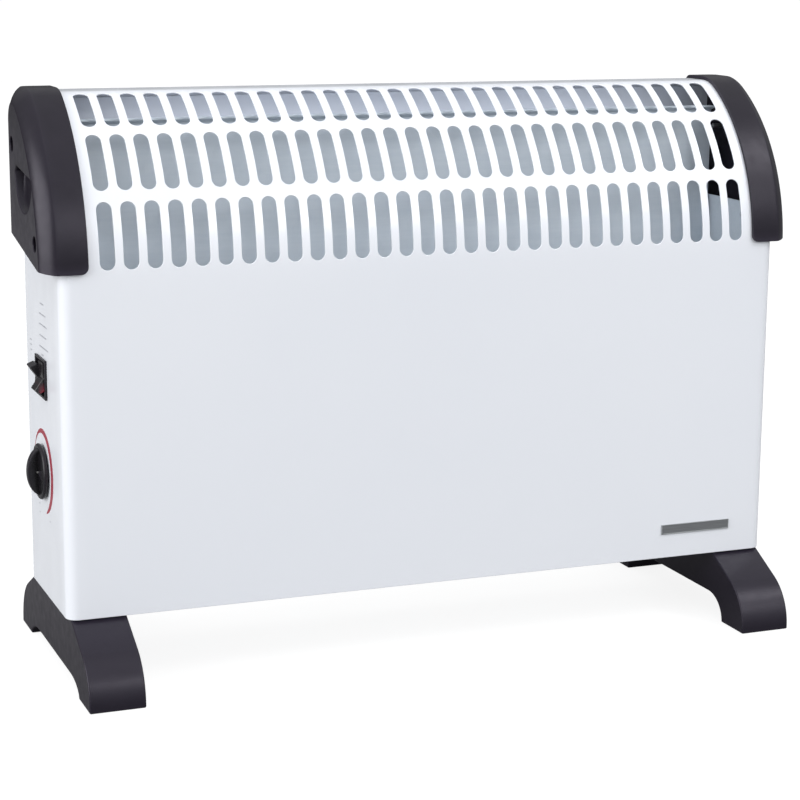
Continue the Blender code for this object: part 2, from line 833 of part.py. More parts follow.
def switch_housing():
    half_y, half_z = BEZEL_SIZE[0] / 2, BEZEL_SIZE[1] / 2
    face = -CASING_HALF - 0.0016
    housing = box(
        "switch_housing",
        (face, SWITCH_Y - half_y, SWITCH_Z - half_z),
        (-CASING_HALF - GAP, SWITCH_Y + half_y, SWITCH_Z + half_z),
        BLACK,
    )
    body = box(
        "switch_body",
        (-CASING_HALF - 0.0008, SWITCH_Y - half_y + 0.0013, SWITCH_Z - half_z + 0.0013),
        (-0.2310, SWITCH_Y + half_y - 0.0013, SWITCH_Z + half_z - 0.0013),
        BLACK,
        CUTTERS,
    )
    well = box(
        "switch_well",
        (face - 0.002, SWITCH_Y - 0.0128, SWITCH_Z - 0.0113),
        (-0.2501, SWITCH_Y + 0.0128, SWITCH_Z + 0.0113),
        BLACK,
        CUTTERS,
    )
    join(housing, body)
    cut(housing, well)
    return housing


def rocker(name, offset_y, tilt):
    """A rocker with two faces in a shallow V, pivoted on its origin about Y."""
    high, middle, low = 0.0080, 0.0046, 0.0030
    half = ROCKER_HALF_HEIGHT
    outline = [
        (-high, half),
        (-middle, 0),
        (-high, -half),
        (-low, -half - 0.0006),
        (0.0020, -0.0050),
        (0.0020, 0.0050),
        (-low, half + 0.0006),
    ]
    shape = bmesh.new()
    face = shape.faces.new([shape.verts.new((x, -ROCKER_WIDTH / 2, z)) for x, z in outline])
    moved = bmesh.ops.extrude_face_region(shape, geom=[face])["geom"]
    corners = [item for item in moved if isinstance(item, bmesh.types.BMVert)]
    bmesh.ops.translate(shape, verts=corners, vec=(0, ROCKER_WIDTH, 0))
    made = finish_bmesh(name, shape, RED_LENS if offset_y < 0 else BLACK)
    made.location = (ROCKER_PIVOT_X, SWITCH_Y + offset_y, SWITCH_Z)
    made.rotation_euler = (0, tilt, 0)
    return made


def thermostat():
    """Thermostat block with its bush through the side panel, and the spindle that turns in it."""
    inner = -CASING_HALF + SHEET + GAP
    block = box(
        "thermostat_body",
        (inner, KNOB_Y - 0.0140, KNOB_Z - 0.0140),
        (-0.2300, KNOB_Y + 0.0140, KNOB_Z + 0.0140),
        BLACK,
    )
    bush = rod(
        "thermostat_bush",
        (-CASING_HALF - 0.0004, KNOB_Y, KNOB_Z),
        (inner + 0.004, KNOB_Y, KNOB_Z),
        0.0048,
        BLACK,
        CUTTERS,
    )
    bore = rod(
        "spindle_bore",
        (-CASING_HALF - 0.004, KNOB_Y, KNOB_Z),
        (-0.2380, KNOB_Y, KNOB_Z),
        0.0033,
        BLACK,
        CUTTERS,
    )
    join(block, bush)
    cut(block, bore)
    rod(
        "thermostat_spindle",
        (-0.2629, KNOB_Y, KNOB_Z),
        (-0.2384, KNOB_Y, KNOB_Z),
        0.0030,
        STEEL,
        PARTS,
        14,
    )


def thermostat_knob():
    """Round skirt with an upright domed grip, turning about X."""
    skirt = [
        (0, 0.0036),
        (KNOB_RADIUS - 0.0042, 0.0034),
        (KNOB_RADIUS - 0.0014, 0.0028),
        (KNOB_RADIUS, 0.0014),
        (KNOB_RADIUS - 0.0004, 0.0),
        (0, 0.0),
    ]
    base = -CASING_HALF - 0.0008
    knob = turned("thermostat_knob", skirt, (base, KNOB_Y, KNOB_Z), (-1, 0, 0), BLACK, 28)
    grip_height, grip_rise = 0.0160, 0.0104
    dome_radius = (grip_height**2 + grip_rise**2) / (2 * grip_rise)
    half_angle = math.asin(grip_height / dome_radius)
    outline = []
    for i in range(11):
        angle = -half_angle + 2 * half_angle * i / 10
        out = grip_rise - dome_radius * (1 - math.cos(angle))
        outline.append((base - out - 0.0002, KNOB_Z + dome_radius * math.sin(angle)))
    shape = bmesh.new()
    corners = [shape.verts.new((x, KNOB_Y - 0.0032, z)) for x, z in outline]
    face = shape.faces.new(corners)
    moved = bmesh.ops.extrude_face_region(shape, geom=[face])["geom"]
    far = [item for item in moved if isinstance(item, bmesh.types.BMVert)]
    bmesh.ops.translate(shape, verts=far, vec=(0, 0.0064, 0))
    grip = finish_bmesh("knob_grip", shape, BLACK, CUTTERS)
    spindle_socket = rod(
        "spindle_socket",
        (base + 0.002, KNOB_Y, KNOB_Z),
        (-0.2633, KNOB_Y, KNOB_Z),
        0.0033,
        BLACK,
        CUTTERS,
        14,
    )
    join(knob, grip)
    cut(knob, spindle_socket)
    return knob


def terminal_block():
    floor = CASING_BOTTOM + 0.0006 + SHEET + GAP
    block = box("terminal_block", (-0.216, 0.017, floor), (-0.180, 0.033, floor + 0.014), BLACK)
    for number in range(3):
        x = -0.210 + 0.012 * number
        hole = rod(
            f"terminal_hole_{number}",
            (x, 0.012, floor + 0.007),
            (x, 0.045, floor + 0.007),
            0.0022,
            BLACK,
            CUTTERS,
            8,
        )
        cut(block, hole)


def cord_gland():
    """Inlet for the mains cord, snapped into the rear panel."""
    profile = [
        (0.0045, 0.0080),
        (0.0075, 0.0080),
        (0.0095, 0.0025),
        (0.0095, 0.0003),
        (GLAND_HOLE - GAP, 0.0003),
        (GLAND_HOLE - GAP, -0.0100),
        (0.0045, -0.0100),
        (0.0045, 0.0080),
    ]
    face = REAR_PANEL_Y + SHEET
    turned("cord_gland", profile, (GLAND_X, face, GLAND_Z), (0, 1, 0), BLACK, 16)


def badge():
    low = (0.1745, FRONT_Y - GAP - 0.0006, 0.0658)
    high = (0.2290, FRONT_Y - GAP, 0.0729)
    box("front_badge", low, high, BADGE_GREY)


def fan_bracket():
    """Level strap across the back of the shield's opening, holding the motor."""
    foot_y, strap_y = SHIELD_Y + 0.0008 + GAP, 0.0140
    outline = [
        (foot_y, -0.060),
        (foot_y, -0.049),
        (strap_y, -0.047),
        (strap_y, 0.047),
        (foot_y, 0.049),
        (foot_y, 0.060),
        (foot_y + SHEET, 0.060),
        (foot_y + SHEET, 0.050),
        (strap_y + SHEET, 0.048),
        (strap_y + SHEET, -0.048),
        (foot_y + SHEET, -0.050),
        (foot_y + SHEET, -0.060),
    ]
    strap = prism("fan_bracket", outline, -0.011, 0.011, GALVANISED)
    strap.rotation_euler = (0, math.pi / 2, 0)
    strap.location = (0, 0, FAN_Z)
    start, end = (0, strap_y - 0.004, FAN_Z), (0, strap_y + 0.004, FAN_Z)
    cut(strap, rod("bracket_hole", start, end, 0.0040, BLACK, CUTTERS, 12))


def fan_motor():
    """Shaded-pole motor: laminated stator, coil, rear bearing bridge and turning rotor."""
    near, far = 0.0154, 0.0334
    stator_top = FAN_Z + 0.038
    stator = box(
        "fan_stator",
        (-0.026, near, FAN_Z - 0.022),
        (0.026, far, stator_top),
        CORE_STEEL,
    )
    bore_start, bore_end = (0, near - 0.002, FAN_Z), (0, far + 0.002, FAN_Z)
    rotor_bore = rod("rotor_bore", bore_start, bore_end, 0.0110, BLACK, CUTTERS)
    window_low, window_high = FAN_Z + 0.0160, FAN_Z + 0.0275
    window = box(
        "coil_window",
        (-0.017, near - 0.002, window_low),
        (0.017, far + 0.002, window_high),
        BLACK,
        CUTTERS,
    )
    cut(stator, rotor_bore, window)
    coil = box(
        "fan_coil",
        (-0.015, near - 0.0012, window_low + GAP),
        (0.015, far + 0.008, FAN_Z + 0.047),
        COPPER,
    )
    leg_room = box(
        "coil_leg_room",
        (-0.030, near - GAP, window_high - GAP),
        (0.030, far + GAP, stator_top + GAP),
        BLACK,
        CUTTERS,
    )
    cut(coil, leg_room)
    bridge = box(
        "fan_rear_bridge",
        (-0.006, far + GAP, FAN_Z - 0.020),
        (0.006, far + GAP + 0.002, FAN_Z + 0.014),
        GALVANISED,
    )
    start, end = (0, far - 0.002, FAN_Z), (0, far + 0.006, FAN_Z)
    cut(bridge, rod("bridge_hole", start, end, 0.0024, BLACK, CUTTERS, 12))
    profile = [
        (0, 0.0460),
        (0.0020, 0.0460),
        (0.0020, 0.0190),
        (0.0105, 0.0190),
        (0.0105, 0.0030),
        (0.0020, 0.0030),
        (0.0020, -0.0030),
        (0, -0.0030),
    ]
    turned("fan_rotor", profile, (0, far + 0.0010, FAN_Z), (0, -1, 0), STEEL, 14)


def fan_impeller():
    """Seven pitched blades on a hub, turning about Y in the shield's opening."""
    hub_profile = [
        (0.0023, 0.0080),
        (0.0100, 0.0080),
        (0.0120, 0.0060),
        (0.0120, -0.0060),
        (0.0023, -0.0060),
        (0.0023, 0.0080),
    ]
    hub = turned("fan_impeller", hub_profile, (0, -0.002, FAN_Z), (0, -1, 0), CHARCOAL, 21)
    for number in range(7):
        blade = bmesh.new()
        bmesh.ops.create_cube(blade, size=1)
        reach = FAN_RADIUS - 0.0105
        bmesh.ops.scale(blade, verts=blade.verts, vec=(reach, 0.0014, 0.0150))
        bmesh.ops.translate(blade, verts=blade.verts, vec=(0.0105 + reach / 2, 0, 0))
        pitch = Matrix.Rotation(math.radians(32), 4, "X")
        around = Matrix.Rotation(math.tau * number / 7, 4, "Y")
        blade.transform(Matrix.Translation((0, -0.002, FAN_Z)) @ around @ pitch)
        join(hub, finish_bmesh(f"fan_blade_{number}", blade, CHARCOAL, CUTTERS))


def wire(name, points):
    """A flexible lead through the given points."""
    data = bpy.data.curves.new(name, "CURVE")
    data.dimensions = "3D"
    data.bevel_depth = 0.0013
    data.bevel_resolution = 2
    data.use_fill_caps = True
    spline = data.splines.new("POLY")
    spline.points.add(len(points) - 1)
    for point, place in zip(spline.points, points):
        point.co = (*place, 1)
    data.materials.append(WIRE)
    PARTS.objects.link(bpy.data.objects.new(name, data))


def wiring():
    element_end_x = LEFT_PLATE_X - 0.0075
    wire(
        "supply_wire",
        [
            (-0.210, 0.0365, 0.058),
            (-0.212, 0.0395, 0.070),
            (-0.220, 0.0400, 0.090),
            (-0.2265, 0.0340, 0.110),
            (-0.2270, 0.0200, 0.124),
            (-0.2280, 0.0120, 0.130),
        ],
    )
    wire(
        "thermostat_wire",
        [
            (-0.2285, 0.0060, 0.140),
            (-0.2230, 0.0080, 0.150),
            (-0.2220, 0.0110, 0.167),
            (-0.2230, 0.0100, 0.185),
            (-0.2295, 0.0080, 0.193),
        ],
    )
    for level, z in ELEMENT_HEIGHTS.items():
        wire(
            f"{level}_element_wire",
            [
                (-0.2295, -0.0040, SWITCH_Z - 0.004 + (z - 0.190) * 0.2),
                (-0.2240, -0.0070, SWITCH_Z - 0.004 + (z - 0.190) * 0.4),
                (-0.2235, -0.0120, z + 0.004),
                (element_end_x - 0.0030, -0.0210, z + 0.001),
                (element_end_x, ELEMENT_Y, z),
            ],
        )
    wire(
        "fan_wire",
        [
            (-0.186, 0.0365, 0.058),
            (-0.176, 0.0400, 0.066),
            (-0.150, 0.0400, 0.080),
            (-0.110, 0.0400, 0.100),
            (-0.070, 0.0400, 0.120),
            (-0.035, 0.0390, 0.138),
            (-0.0165, 0.0370, 0.145),
        ],
    )


def build():
    front_casing()
    end_cap("left_end_cap", -1)
    end_cap("right_end_cap", 1)
    foot("left_foot", -1)
    foot("right_foot", 1)
    cap_screws()
    foot_screws()
    rear_panel_screws()
    rear_panel()
    base_panel()
    heat_shield()
    control_windows(side_frame("left_side_frame", -1))
    side_frame("right_side_frame", 1)
    element_plate("left_element_plate", LEFT_PLATE_X)
    element_plate("right_element_plate", RIGHT_PLATE_X)
    heating_elements()
    thermal_cutout()
    switch_housing()
    rocker("front_rocker", -0.0064, ROCKER_TILT)
    rocker("rear_rocker", 0.0064, -ROCKER_TILT)
    thermostat()
    thermostat_knob()
    terminal_block()
    cord_gland()
    badge()
    fan_bracket()
    fan_motor()
    fan_impeller()
    wiring()


build()
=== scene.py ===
"""Looks of the fan convector heater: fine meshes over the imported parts, materials, light and camera.

Everything is in metres in the part's own frame: +X along the heater, the front faces -Y, +Z up.
"""

import json
import math

import bmesh
import bpy
from mathutils import Matrix, Vector


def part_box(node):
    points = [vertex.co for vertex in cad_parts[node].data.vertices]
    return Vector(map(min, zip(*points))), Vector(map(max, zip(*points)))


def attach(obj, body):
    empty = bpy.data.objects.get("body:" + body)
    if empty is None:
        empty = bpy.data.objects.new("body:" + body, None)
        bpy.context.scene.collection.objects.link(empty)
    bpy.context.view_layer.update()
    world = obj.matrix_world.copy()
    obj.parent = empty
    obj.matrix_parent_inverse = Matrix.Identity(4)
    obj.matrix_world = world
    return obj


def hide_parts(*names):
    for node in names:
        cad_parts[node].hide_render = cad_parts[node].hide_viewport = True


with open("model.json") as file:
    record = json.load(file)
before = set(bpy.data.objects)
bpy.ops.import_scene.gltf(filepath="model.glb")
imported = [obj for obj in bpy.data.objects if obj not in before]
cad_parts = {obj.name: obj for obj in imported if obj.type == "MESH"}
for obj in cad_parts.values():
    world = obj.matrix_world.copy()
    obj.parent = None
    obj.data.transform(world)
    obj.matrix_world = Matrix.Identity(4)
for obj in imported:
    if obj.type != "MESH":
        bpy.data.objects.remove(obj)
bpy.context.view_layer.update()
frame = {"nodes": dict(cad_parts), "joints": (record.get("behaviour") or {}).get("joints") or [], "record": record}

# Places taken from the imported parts
CASING_LOW, CASING_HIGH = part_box("front_casing")
CAP_LOW, CAP_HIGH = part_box("right_end_cap")
FOOT_LOW, FOOT_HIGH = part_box("right_foot")
BEZEL_LOW, BEZEL_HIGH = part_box("switch_housing")
KNOB_LOW, KNOB_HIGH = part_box("thermostat_knob")
BADGE_LOW, BADGE_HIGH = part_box("front_badge")
REAR_LOW, REAR_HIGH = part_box("rear_panel")
GLAND_LOW, GLAND_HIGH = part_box("cord_gland")
SHIELD_LOW, SHIELD_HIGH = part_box("heat_shield")
HALF = CASING_HIGH.x
FRONT_Y = CASING_LOW.y
BACK_Y = CASING_HIGH.y
BOTTOM = CASING_LOW.z
TOP = CASING_HIGH.z

# Casing outline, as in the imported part
SHEET = 0.001
GAP = 0.0003
ARC_RADIUS = 0.1265
ARC_Y = FRONT_Y + ARC_RADIUS
ARC_Z = 0.2703
BLEND_RADIUS = 0.030
BLEND_Z = TOP - BLEND_RADIUS
BLEND_Y = ARC_Y - math.sqrt((ARC_RADIUS - BLEND_RADIUS) ** 2 - (BLEND_Z - ARC_Z) ** 2)
BLEND_ANGLE = math.atan2(BLEND_Z - ARC_Z, ARC_Y - BLEND_Y)
BACK_CORNER = 0.006
FRONT_CORNER = 0.008
SIDE_TOP = 0.3005
UNDER_CAP_GAP = 0.0019

# Air slots; each row spans from one angle up the arc to another, in degrees
SLOT_PITCH = 0.0156
SLOT_COLUMNS = 30
SLOT_WIDTH = 0.010
SLOT_ROWS = ((2.7, 22.4), (25.8, 44.3), (47.4, 63.1))
SLOT_MARGIN = 0.0037
END_SEGMENTS = 12
SIDE_SEGMENTS = 8

# Slots of the back panel
REAR_MIDDLE_X = 0.012
REAR_COLUMNS = 17
REAR_PITCH = 0.0235
REAR_WIDTH = 0.007
REAR_ROW_ZS = (0.120, 0.182)
REAR_SLOT_HALF = 0.023
REAR_CELL_HALF = 0.0275

# End caps
CAP_INNER_X = CAP_LOW.x
CAP_OUTER_X = CAP_HIGH.x
CAP_PROUD = 0.0025
CAP_BOTTOM = CAP_LOW.z
CAP_LEVEL_Y = -0.051
CAP_SLOPE = 0.180
CAP_RIM = 0.0102
CAP_RIM_POWER = 1.32
CAP_BACK_ROUND = 0.018
CAP_BACK_CORNER = 0.0085
CAP_LIP_ROUND = 0.0048
CAP_PLAIN_XS = (0.2500, 0.2540, 0.2570)
CAP_SCREWS = ((0.0230, 0.3500), (-0.0405, 0.2924))
COUNTERBORE_RADIUS = 0.0052
COUNTERBORE_FLOOR_X = 0.2605
GRIP_Y = -0.0115
GRIP_Z = 0.3345
GRIP_RADIUS = 0.0255
GRIP_TILT = math.radians(6.8)
GRIP_DEEP_X = 0.2614

# Feet
FOOT_TOP_HALF = 0.0560
FOOT_NOSE_RADIUS = 0.036
FOOT_NOSE_Z = 0.002
FOOT_NOSE_ANGLE = math.radians(63)
SOLE_INNER_Y = 0.0727
FOOT_SCREW_X = 0.236
FOOT_SCREW_YS = (("front", -0.030), ("rear", 0.030))
FOOT_SCREW_Z = 0.040
FOOT_BORE_RADIUS = 0.0052

# Screw heads: radius and height
LARGE_HEAD = (0.0040, 0.0025)
SMALL_HEAD = (0.0035, 0.0020)

# Controls
SWITCH_Y = (BEZEL_LOW.y + BEZEL_HIGH.y) / 2
SWITCH_Z = (BEZEL_LOW.z + BEZEL_HIGH.z) / 2
KNOB_Y = (KNOB_LOW.y + KNOB_HIGH.y) / 2
KNOB_Z = (KNOB_LOW.z + KNOB_HIGH.z) / 2
KNOB_RADIUS = (KNOB_HIGH.z - KNOB_LOW.z) / 2
BEZEL_RIM = 0.0009
WELL_FLOOR_X = -0.2501
WELL_HALF_Y = 0.0128
WELL_HALF_Z = 0.0113
SWITCH_HOLE_HALF = 0.0123
KNOB_HOLE_HALF = 0.0052
# Depths in the switch well where the rocker's painted red lamp light starts and where it is full
PAINTED_GLOW_START_X = -0.2631
PAINTED_GLOW_FULL_X = -0.2601
ROCKER_HALF = 0.0095
KNOB_SOCKET_X = -0.2633
KNOB_SOCKET_RADIUS = 0.0033

# Print on the left side panel; the arc's ends are in degrees from straight up
INK = 0.00004
PRINT_X = -HALF - 0.00006
STROKE_HEIGHT = 0.0008
ARC_START = -72
ARC_END = 168
ARC_OUTER = 0.0286
ARC_THIN = 0.0007
ARC_THICK = 0.0066


# ---------------------------------------------------------------- materials


def add_node(tree, kind, **settings):
    node = tree.nodes.new(kind)
    for key, value in settings.items():
        setattr(node, key, value)
    return node


class Nodes:
    """Short names for building one material's node tree."""

    def __init__(self, name):
        self.material = bpy.data.materials.new(name)
        self.material.use_nodes = True
        self.tree = self.material.node_tree
        self.shader = self.tree.nodes["Principled BSDF"]
        self.place = self.add("ShaderNodeTexCoord").outputs["Object"]

    def add(self, kind, **settings):
        return add_node(self.tree, kind, **settings)

    def link(self, source, target):
        self.tree.links.new(source, target)

    def scaled(self, x, y, z):
        """The object's own coordinates, stretched along each axis."""
        mapping = self.add("ShaderNodeMapping")
        mapping.inputs["Scale"].default_value = (x, y, z)
        self.link(self.place, mapping.inputs["Vector"])
        return mapping.outputs["Vector"]

    def noise(self, scale, detail, vector=None):
        node = self.add("ShaderNodeTexNoise")
        node.inputs["Scale"].default_value = scale
        node.inputs["Detail"].default_value = detail
        self.link(vector or self.place, node.inputs["Vector"])
        return node.outputs["Fac"]

    def bands(self, scale, distortion):
        """Fine stripes along Y."""
        node = self.add("ShaderNodeTexWave", bands_direction="Y")
        node.inputs["Scale"].default_value = scale
        node.inputs["Distortion"].default_value = distortion
        self.link(self.place, node.inputs["Vector"])
        return node.outputs["Fac"]

    def remap(self, value, low, high, from_low=0.3, from_high=0.7):
        node = self.add("ShaderNodeMapRange")
        node.inputs["From Min"].default_value = from_low
        node.inputs["From Max"].default_value = from_high
        node.inputs["To Min"].default_value = low
        node.inputs["To Max"].default_value = high
        self.link(value, node.inputs["Value"])
        return node.outputs["Result"]

    def math(self, operation, first, second):
        node = self.add("ShaderNodeMath", operation=operation)
        for socket, value in zip(node.inputs, (first, second)):
            if isinstance(value, (int, float)):
                socket.default_value = value
            else:
                self.link(value, socket)
        return node.outputs["Value"]

    def mix(self, factor, first, second):
        """Colour between first and second, each a socket or an (r, g, b)."""
        node = self.add("ShaderNodeMix", data_type="RGBA")
        self.link(factor, node.inputs["Factor"])
        for index, value in ((6, first), (7, second)):
            if isinstance(value, tuple):
                node.inputs[index].default_value = (*value, 1)
            else:
                self.link(value, node.inputs[index])
        return node.outputs[2]

    def axis(self, name):
        node = self.add("ShaderNodeSeparateXYZ")
        self.link(self.place, node.inputs["Vector"])
        return node.outputs[name]

    def edges(self):
        """0 on flat areas, 1 on convex edges."""
        pointiness = self.add("ShaderNodeNewGeometry").outputs["Pointiness"]
        return self.remap(pointiness, 0, 1, 0.50, 0.56)

    def set(self, **values):
        for name, value in values.items():
            socket = self.shader.inputs[name.replace("_", " ")]
            if isinstance(value, (int, float)):
                socket.default_value = value
            elif isinstance(value, tuple):
                socket.default_value = (*value, 1)
            else:
                self.link(value, socket)

    def bump(self, height, distance, strength=1.0):
        node = self.add("ShaderNodeBump")
        node.inputs["Strength"].default_value = strength
        node.inputs["Distance"].default_value = distance
        self.link(height, node.inputs["Height"])
        self.link(node.outputs["Normal"], self.shader.inputs["Normal"])


def enamel():
    """Baked white enamel: slight orange peel, a clear gloss and a little uneven tint."""
    n = Nodes("white_enamel")
    tint = n.remap(n.noise(5.0, 3.0), 0, 1)
    n.set(Base_Color=n.mix(tint, (0.748, 0.768, 0.816), (0.764, 0.782, 0.826)))
    n.set(Roughness=n.remap(n.noise(38.0, 4.0), 0.20, 0.27))
    n.set(Coat_Weight=0.20, Coat_Roughness=0.12, Specular_IOR_Level=0.40)
    n.bump(n.noise(420.0, 2.0), 0.000012)
    return n.material


def charcoal():
    """Satin charcoal moulding with a fine spark-eroded grain and slightly paler edges."""
    n = Nodes("charcoal_plastic")
    mottle = n.remap(n.noise(60.0, 5.0), 0, 1)
    body = n.mix(mottle, (0.0055, 0.0042, 0.0082), (0.0080, 0.0062, 0.0112))
    n.set(Base_Color=n.mix(n.edges(), body, (0.020, 0.017, 0.026)))
    n.set(Roughness=n.remap(n.noise(150.0, 4.0), 0.29, 0.37))
    n.set(Specular_IOR_Level=0.30, Specular_Tint=(0.92, 0.88, 1.0))
    grain = n.math("ADD", n.noise(1900.0, 3.0), n.noise(700.0, 2.0))
    n.bump(grain, 0.00003, 0.55)
    return n.material


def black_plastic():
    """Smoother black plastic of the controls."""
    n = Nodes("black_plastic")
    mottle = n.remap(n.noise(90.0, 4.0), 0, 1)
    body = n.mix(mottle, (0.0045, 0.0042, 0.0054), (0.0070, 0.0064, 0.0080))
    n.set(Base_Color=n.mix(n.edges(), body, (0.020, 0.018, 0.023)))
    n.set(Roughness=n.remap(n.noise(220.0, 3.0), 0.24, 0.34), Specular_IOR_Level=0.30)
    n.bump(n.noise(1500.0, 2.0), 0.000012, 0.6)
    return n.material


def lens():
    """Smoky rocker with the red light of its lamp painted into its lower inner corner."""
    n = Nodes("red_lens")
    # Painted lamp light: the base colour turns red towards the rocker's lower inner corner and stays dark
    # elsewhere
    low = n.remap(n.axis("Z"), 1, 0, SWITCH_Z - 0.0085, SWITCH_Z - 0.0015)
    inner = n.remap(n.axis("X"), 0, 1, PAINTED_GLOW_START_X, PAINTED_GLOW_FULL_X)
    blotch = n.remap(n.noise(520.0, 2.0), 0.55, 1.0)
    painted_lamp_glow = n.math("MULTIPLY", n.math("MULTIPLY", low, inner), blotch)
    n.set(Base_Color=n.mix(painted_lamp_glow, (0.014, 0.012, 0.014), (0.30, 0.020, 0.045)))
    n.set(Roughness=n.remap(n.noise(260.0, 3.0), 0.14, 0.24))
    n.bump(n.noise(900.0, 2.0), 0.00001, 0.5)
    return n.material


def galvanised():
    """Galvanised sheet: faint spangle, a rolled grain and cool grey reflections."""
    n = Nodes("galvanised_steel")
    spangle = n.add("ShaderNodeTexVoronoi")
    spangle.inputs["Scale"].default_value = 95.0
    n.link(n.place, spangle.inputs["Vector"])
    cells = n.remap(spangle.outputs["Color"], 0, 1, 0.0, 1.0)
    streaks = n.noise(1.0, 4.0, n.scaled(14, 400, 400))
    tone = n.math("ADD", n.math("MULTIPLY", cells, 0.25), n.math("MULTIPLY", streaks, 0.75))
    n.set(Base_Color=n.mix(n.remap(tone, 0, 1, 0.2, 0.8), (0.64, 0.71, 0.78), (0.72, 0.78, 0.84)))
    n.set(Metallic=0.20)
    n.set(Roughness=n.remap(tone, 0.42, 0.56, 0.2, 0.8))
    n.bump(streaks, 0.00001, 0.5)
    return n.material


def plated():
    """Zinc-plated screws and turned steel."""
    n = Nodes("zinc_plate")
    cloud = n.remap(n.noise(300.0, 4.0), 0, 1)
    n.set(Base_Color=n.mix(cloud, (0.50, 0.50, 0.47), (0.66, 0.66, 0.63)))
    n.set(Metallic=1.0, Roughness=n.remap(n.noise(700.0, 3.0), 0.25, 0.42))
    n.bump(n.noise(2500.0, 2.0), 0.00001, 0.6)
    return n.material


def aluminium():
    """Extruded aluminium with draw lines along the element."""
    n = Nodes("element_aluminium")
    lines = n.noise(1.0, 5.0, n.scaled(9, 900, 900))
    n.set(Base_Color=n.mix(n.remap(lines, 0, 1), (0.50, 0.51, 0.52), (0.66, 0.67, 0.68)))
    n.set(Metallic=0.9, Roughness=n.remap(lines, 0.34, 0.52))
    n.bump(lines, 0.00002, 0.6)
    return n.material


def ceramic():
    n = Nodes("insulator_ceramic")
    speck = n.remap(n.noise(900.0, 3.0), 0, 1, 0.35, 0.65)
    n.set(Base_Color=n.mix(speck, (0.70, 0.66, 0.57), (0.80, 0.77, 0.70)))
    n.set(Roughness=n.remap(n.noise(200.0, 3.0), 0.30, 0.5))
    n.bump(n.noise(1200.0, 3.0), 0.00002, 0.5)
    return n.material


def copper():
    """Enamelled copper winding: fine turns round the coil."""
    n = Nodes("coil_copper")
    turns = n.bands(420.0, 0.6)
    n.set(Base_Color=n.mix(turns, (0.30, 0.10, 0.04), (0.62, 0.27, 0.12)))
    n.set(Metallic=0.8, Roughness=n.remap(n.noise(300.0, 3.0), 0.28, 0.42))
    n.bump(turns, 0.0002, 0.7)
    return n.material


def laminations():
    """Stacked steel sheets, seen as fine lines across the stator."""
    n = Nodes("motor_core")
    stack = n.bands(160.0, 0.3)
    n.set(Base_Color=n.mix(stack, (0.14, 0.14, 0.15), (0.34, 0.35, 0.37)))
    n.set(Metallic=0.85, Roughness=n.remap(n.noise(400.0, 3.0), 0.4, 0.6))
    n.bump(stack, 0.0001, 0.6)
    return n.material


def sleeve():
    """Pale silicone sleeve with a faint braid."""
    n = Nodes("wire_sleeve")
    braid = n.noise(1600.0, 2.0)
    n.set(Base_Color=n.mix(n.remap(braid, 0, 1), (0.60, 0.59, 0.54), (0.74, 0.72, 0.67)))
    n.set(Roughness=n.remap(n.noise(300.0, 3.0), 0.5, 0.7))
    n.bump(braid, 0.00006, 0.6)
    return n.material


def badge_face():
    """Brushed dark grey of the plain badge."""
    n = Nodes("badge_grey")
    brushed = n.noise(1.0, 5.0, n.scaled(60, 2600, 2600))
    n.set(Base_Color=n.mix(n.remap(brushed, 0, 1), (0.145, 0.152, 0.160), (0.198, 0.206, 0.215)))
    n.set(Metallic=0.35, Roughness=n.remap(brushed, 0.32, 0.46))
    n.bump(brushed, 0.000008, 0.5)
    return n.material


def badge_edge():
    n = Nodes("badge_border")
    brushed = n.noise(1.0, 4.0, n.scaled(60, 2600, 2600))
    n.set(Base_Color=n.mix(n.remap(brushed, 0, 1), (0.34, 0.36, 0.37), (0.44, 0.46, 0.47)))
    n.set(Metallic=0.7, Roughness=n.remap(brushed, 0.25, 0.38))
    return n.material


def ink(name, grain, dark, light):
    """Screen-printed ink, laid a little unevenly."""
    n = Nodes(name)
    n.set(Base_Color=n.mix(n.remap(n.noise(grain, 4.0), 0, 1), dark, light))
    n.set(Roughness=n.remap(n.noise(300.0, 3.0), 0.3, 0.42))
    return n.material


MATERIALS = {
    "white_enamel": enamel(),
    "charcoal_plastic": charcoal(),
    "black_plastic": black_plastic(),
    "red_lens": lens(),
    "galvanised_steel": galvanised(),
    "zinc_screw": plated(),
    "element_aluminium": aluminium(),
    "insulator_ceramic": ceramic(),
    "coil_copper": copper(),
    "motor_core": laminations(),
    "wire_sleeve": sleeve(),
    "badge_grey": badge_face(),
}
MATERIALS["turned_steel"] = MATERIALS["zinc_screw"]
BADGE_BORDER = badge_edge()
RED_PRINT = ink("red_print", 900.0, (0.27, 0.022, 0.045), (0.36, 0.040, 0.062))
GREY_PRINT = ink("grey_print", 1400.0, (0.24, 0.25, 0.28), (0.40, 0.41, 0.44))


# ---------------------------------------------------------------- mesh helpers


def smooth(data, angle):
    """Smooth shading that keeps edges sharper than angle degrees."""
    data.shade_smooth()
    data.set_sharp_from_angle(angle=math.radians(angle))


def new_object(name, shape, material, smooth_angle=None):
    """An object from a bmesh, which is freed. smooth_angle in degrees keeps sharper edges sharp."""
    data = bpy.data.meshes.new(name)
    shape.to_mesh(data)
    shape.free()
    made = bpy.data.objects.new(name, data)
    bpy.context.scene.collection.objects.link(made)
    data.materials.append(material)
    if smooth_angle:
        smooth(data, smooth_angle)
    return made


def piece(made, body, slot, *nodes):
    """Attaches a finished object to what it rides on and hides the nodes it stands for; slot, its finish, is not
    used.
    """
    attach(made, body)
    if nodes:
        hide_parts(*nodes)


def closed(shape):
    """Turns every face of a closed bmesh outwards."""
    bmesh.ops.recalc_face_normals(shape, faces=shape.faces)
    if shape.calc_volume(signed=True) < 0:
        bmesh.ops.reverse_faces(shape, faces=shape.faces)


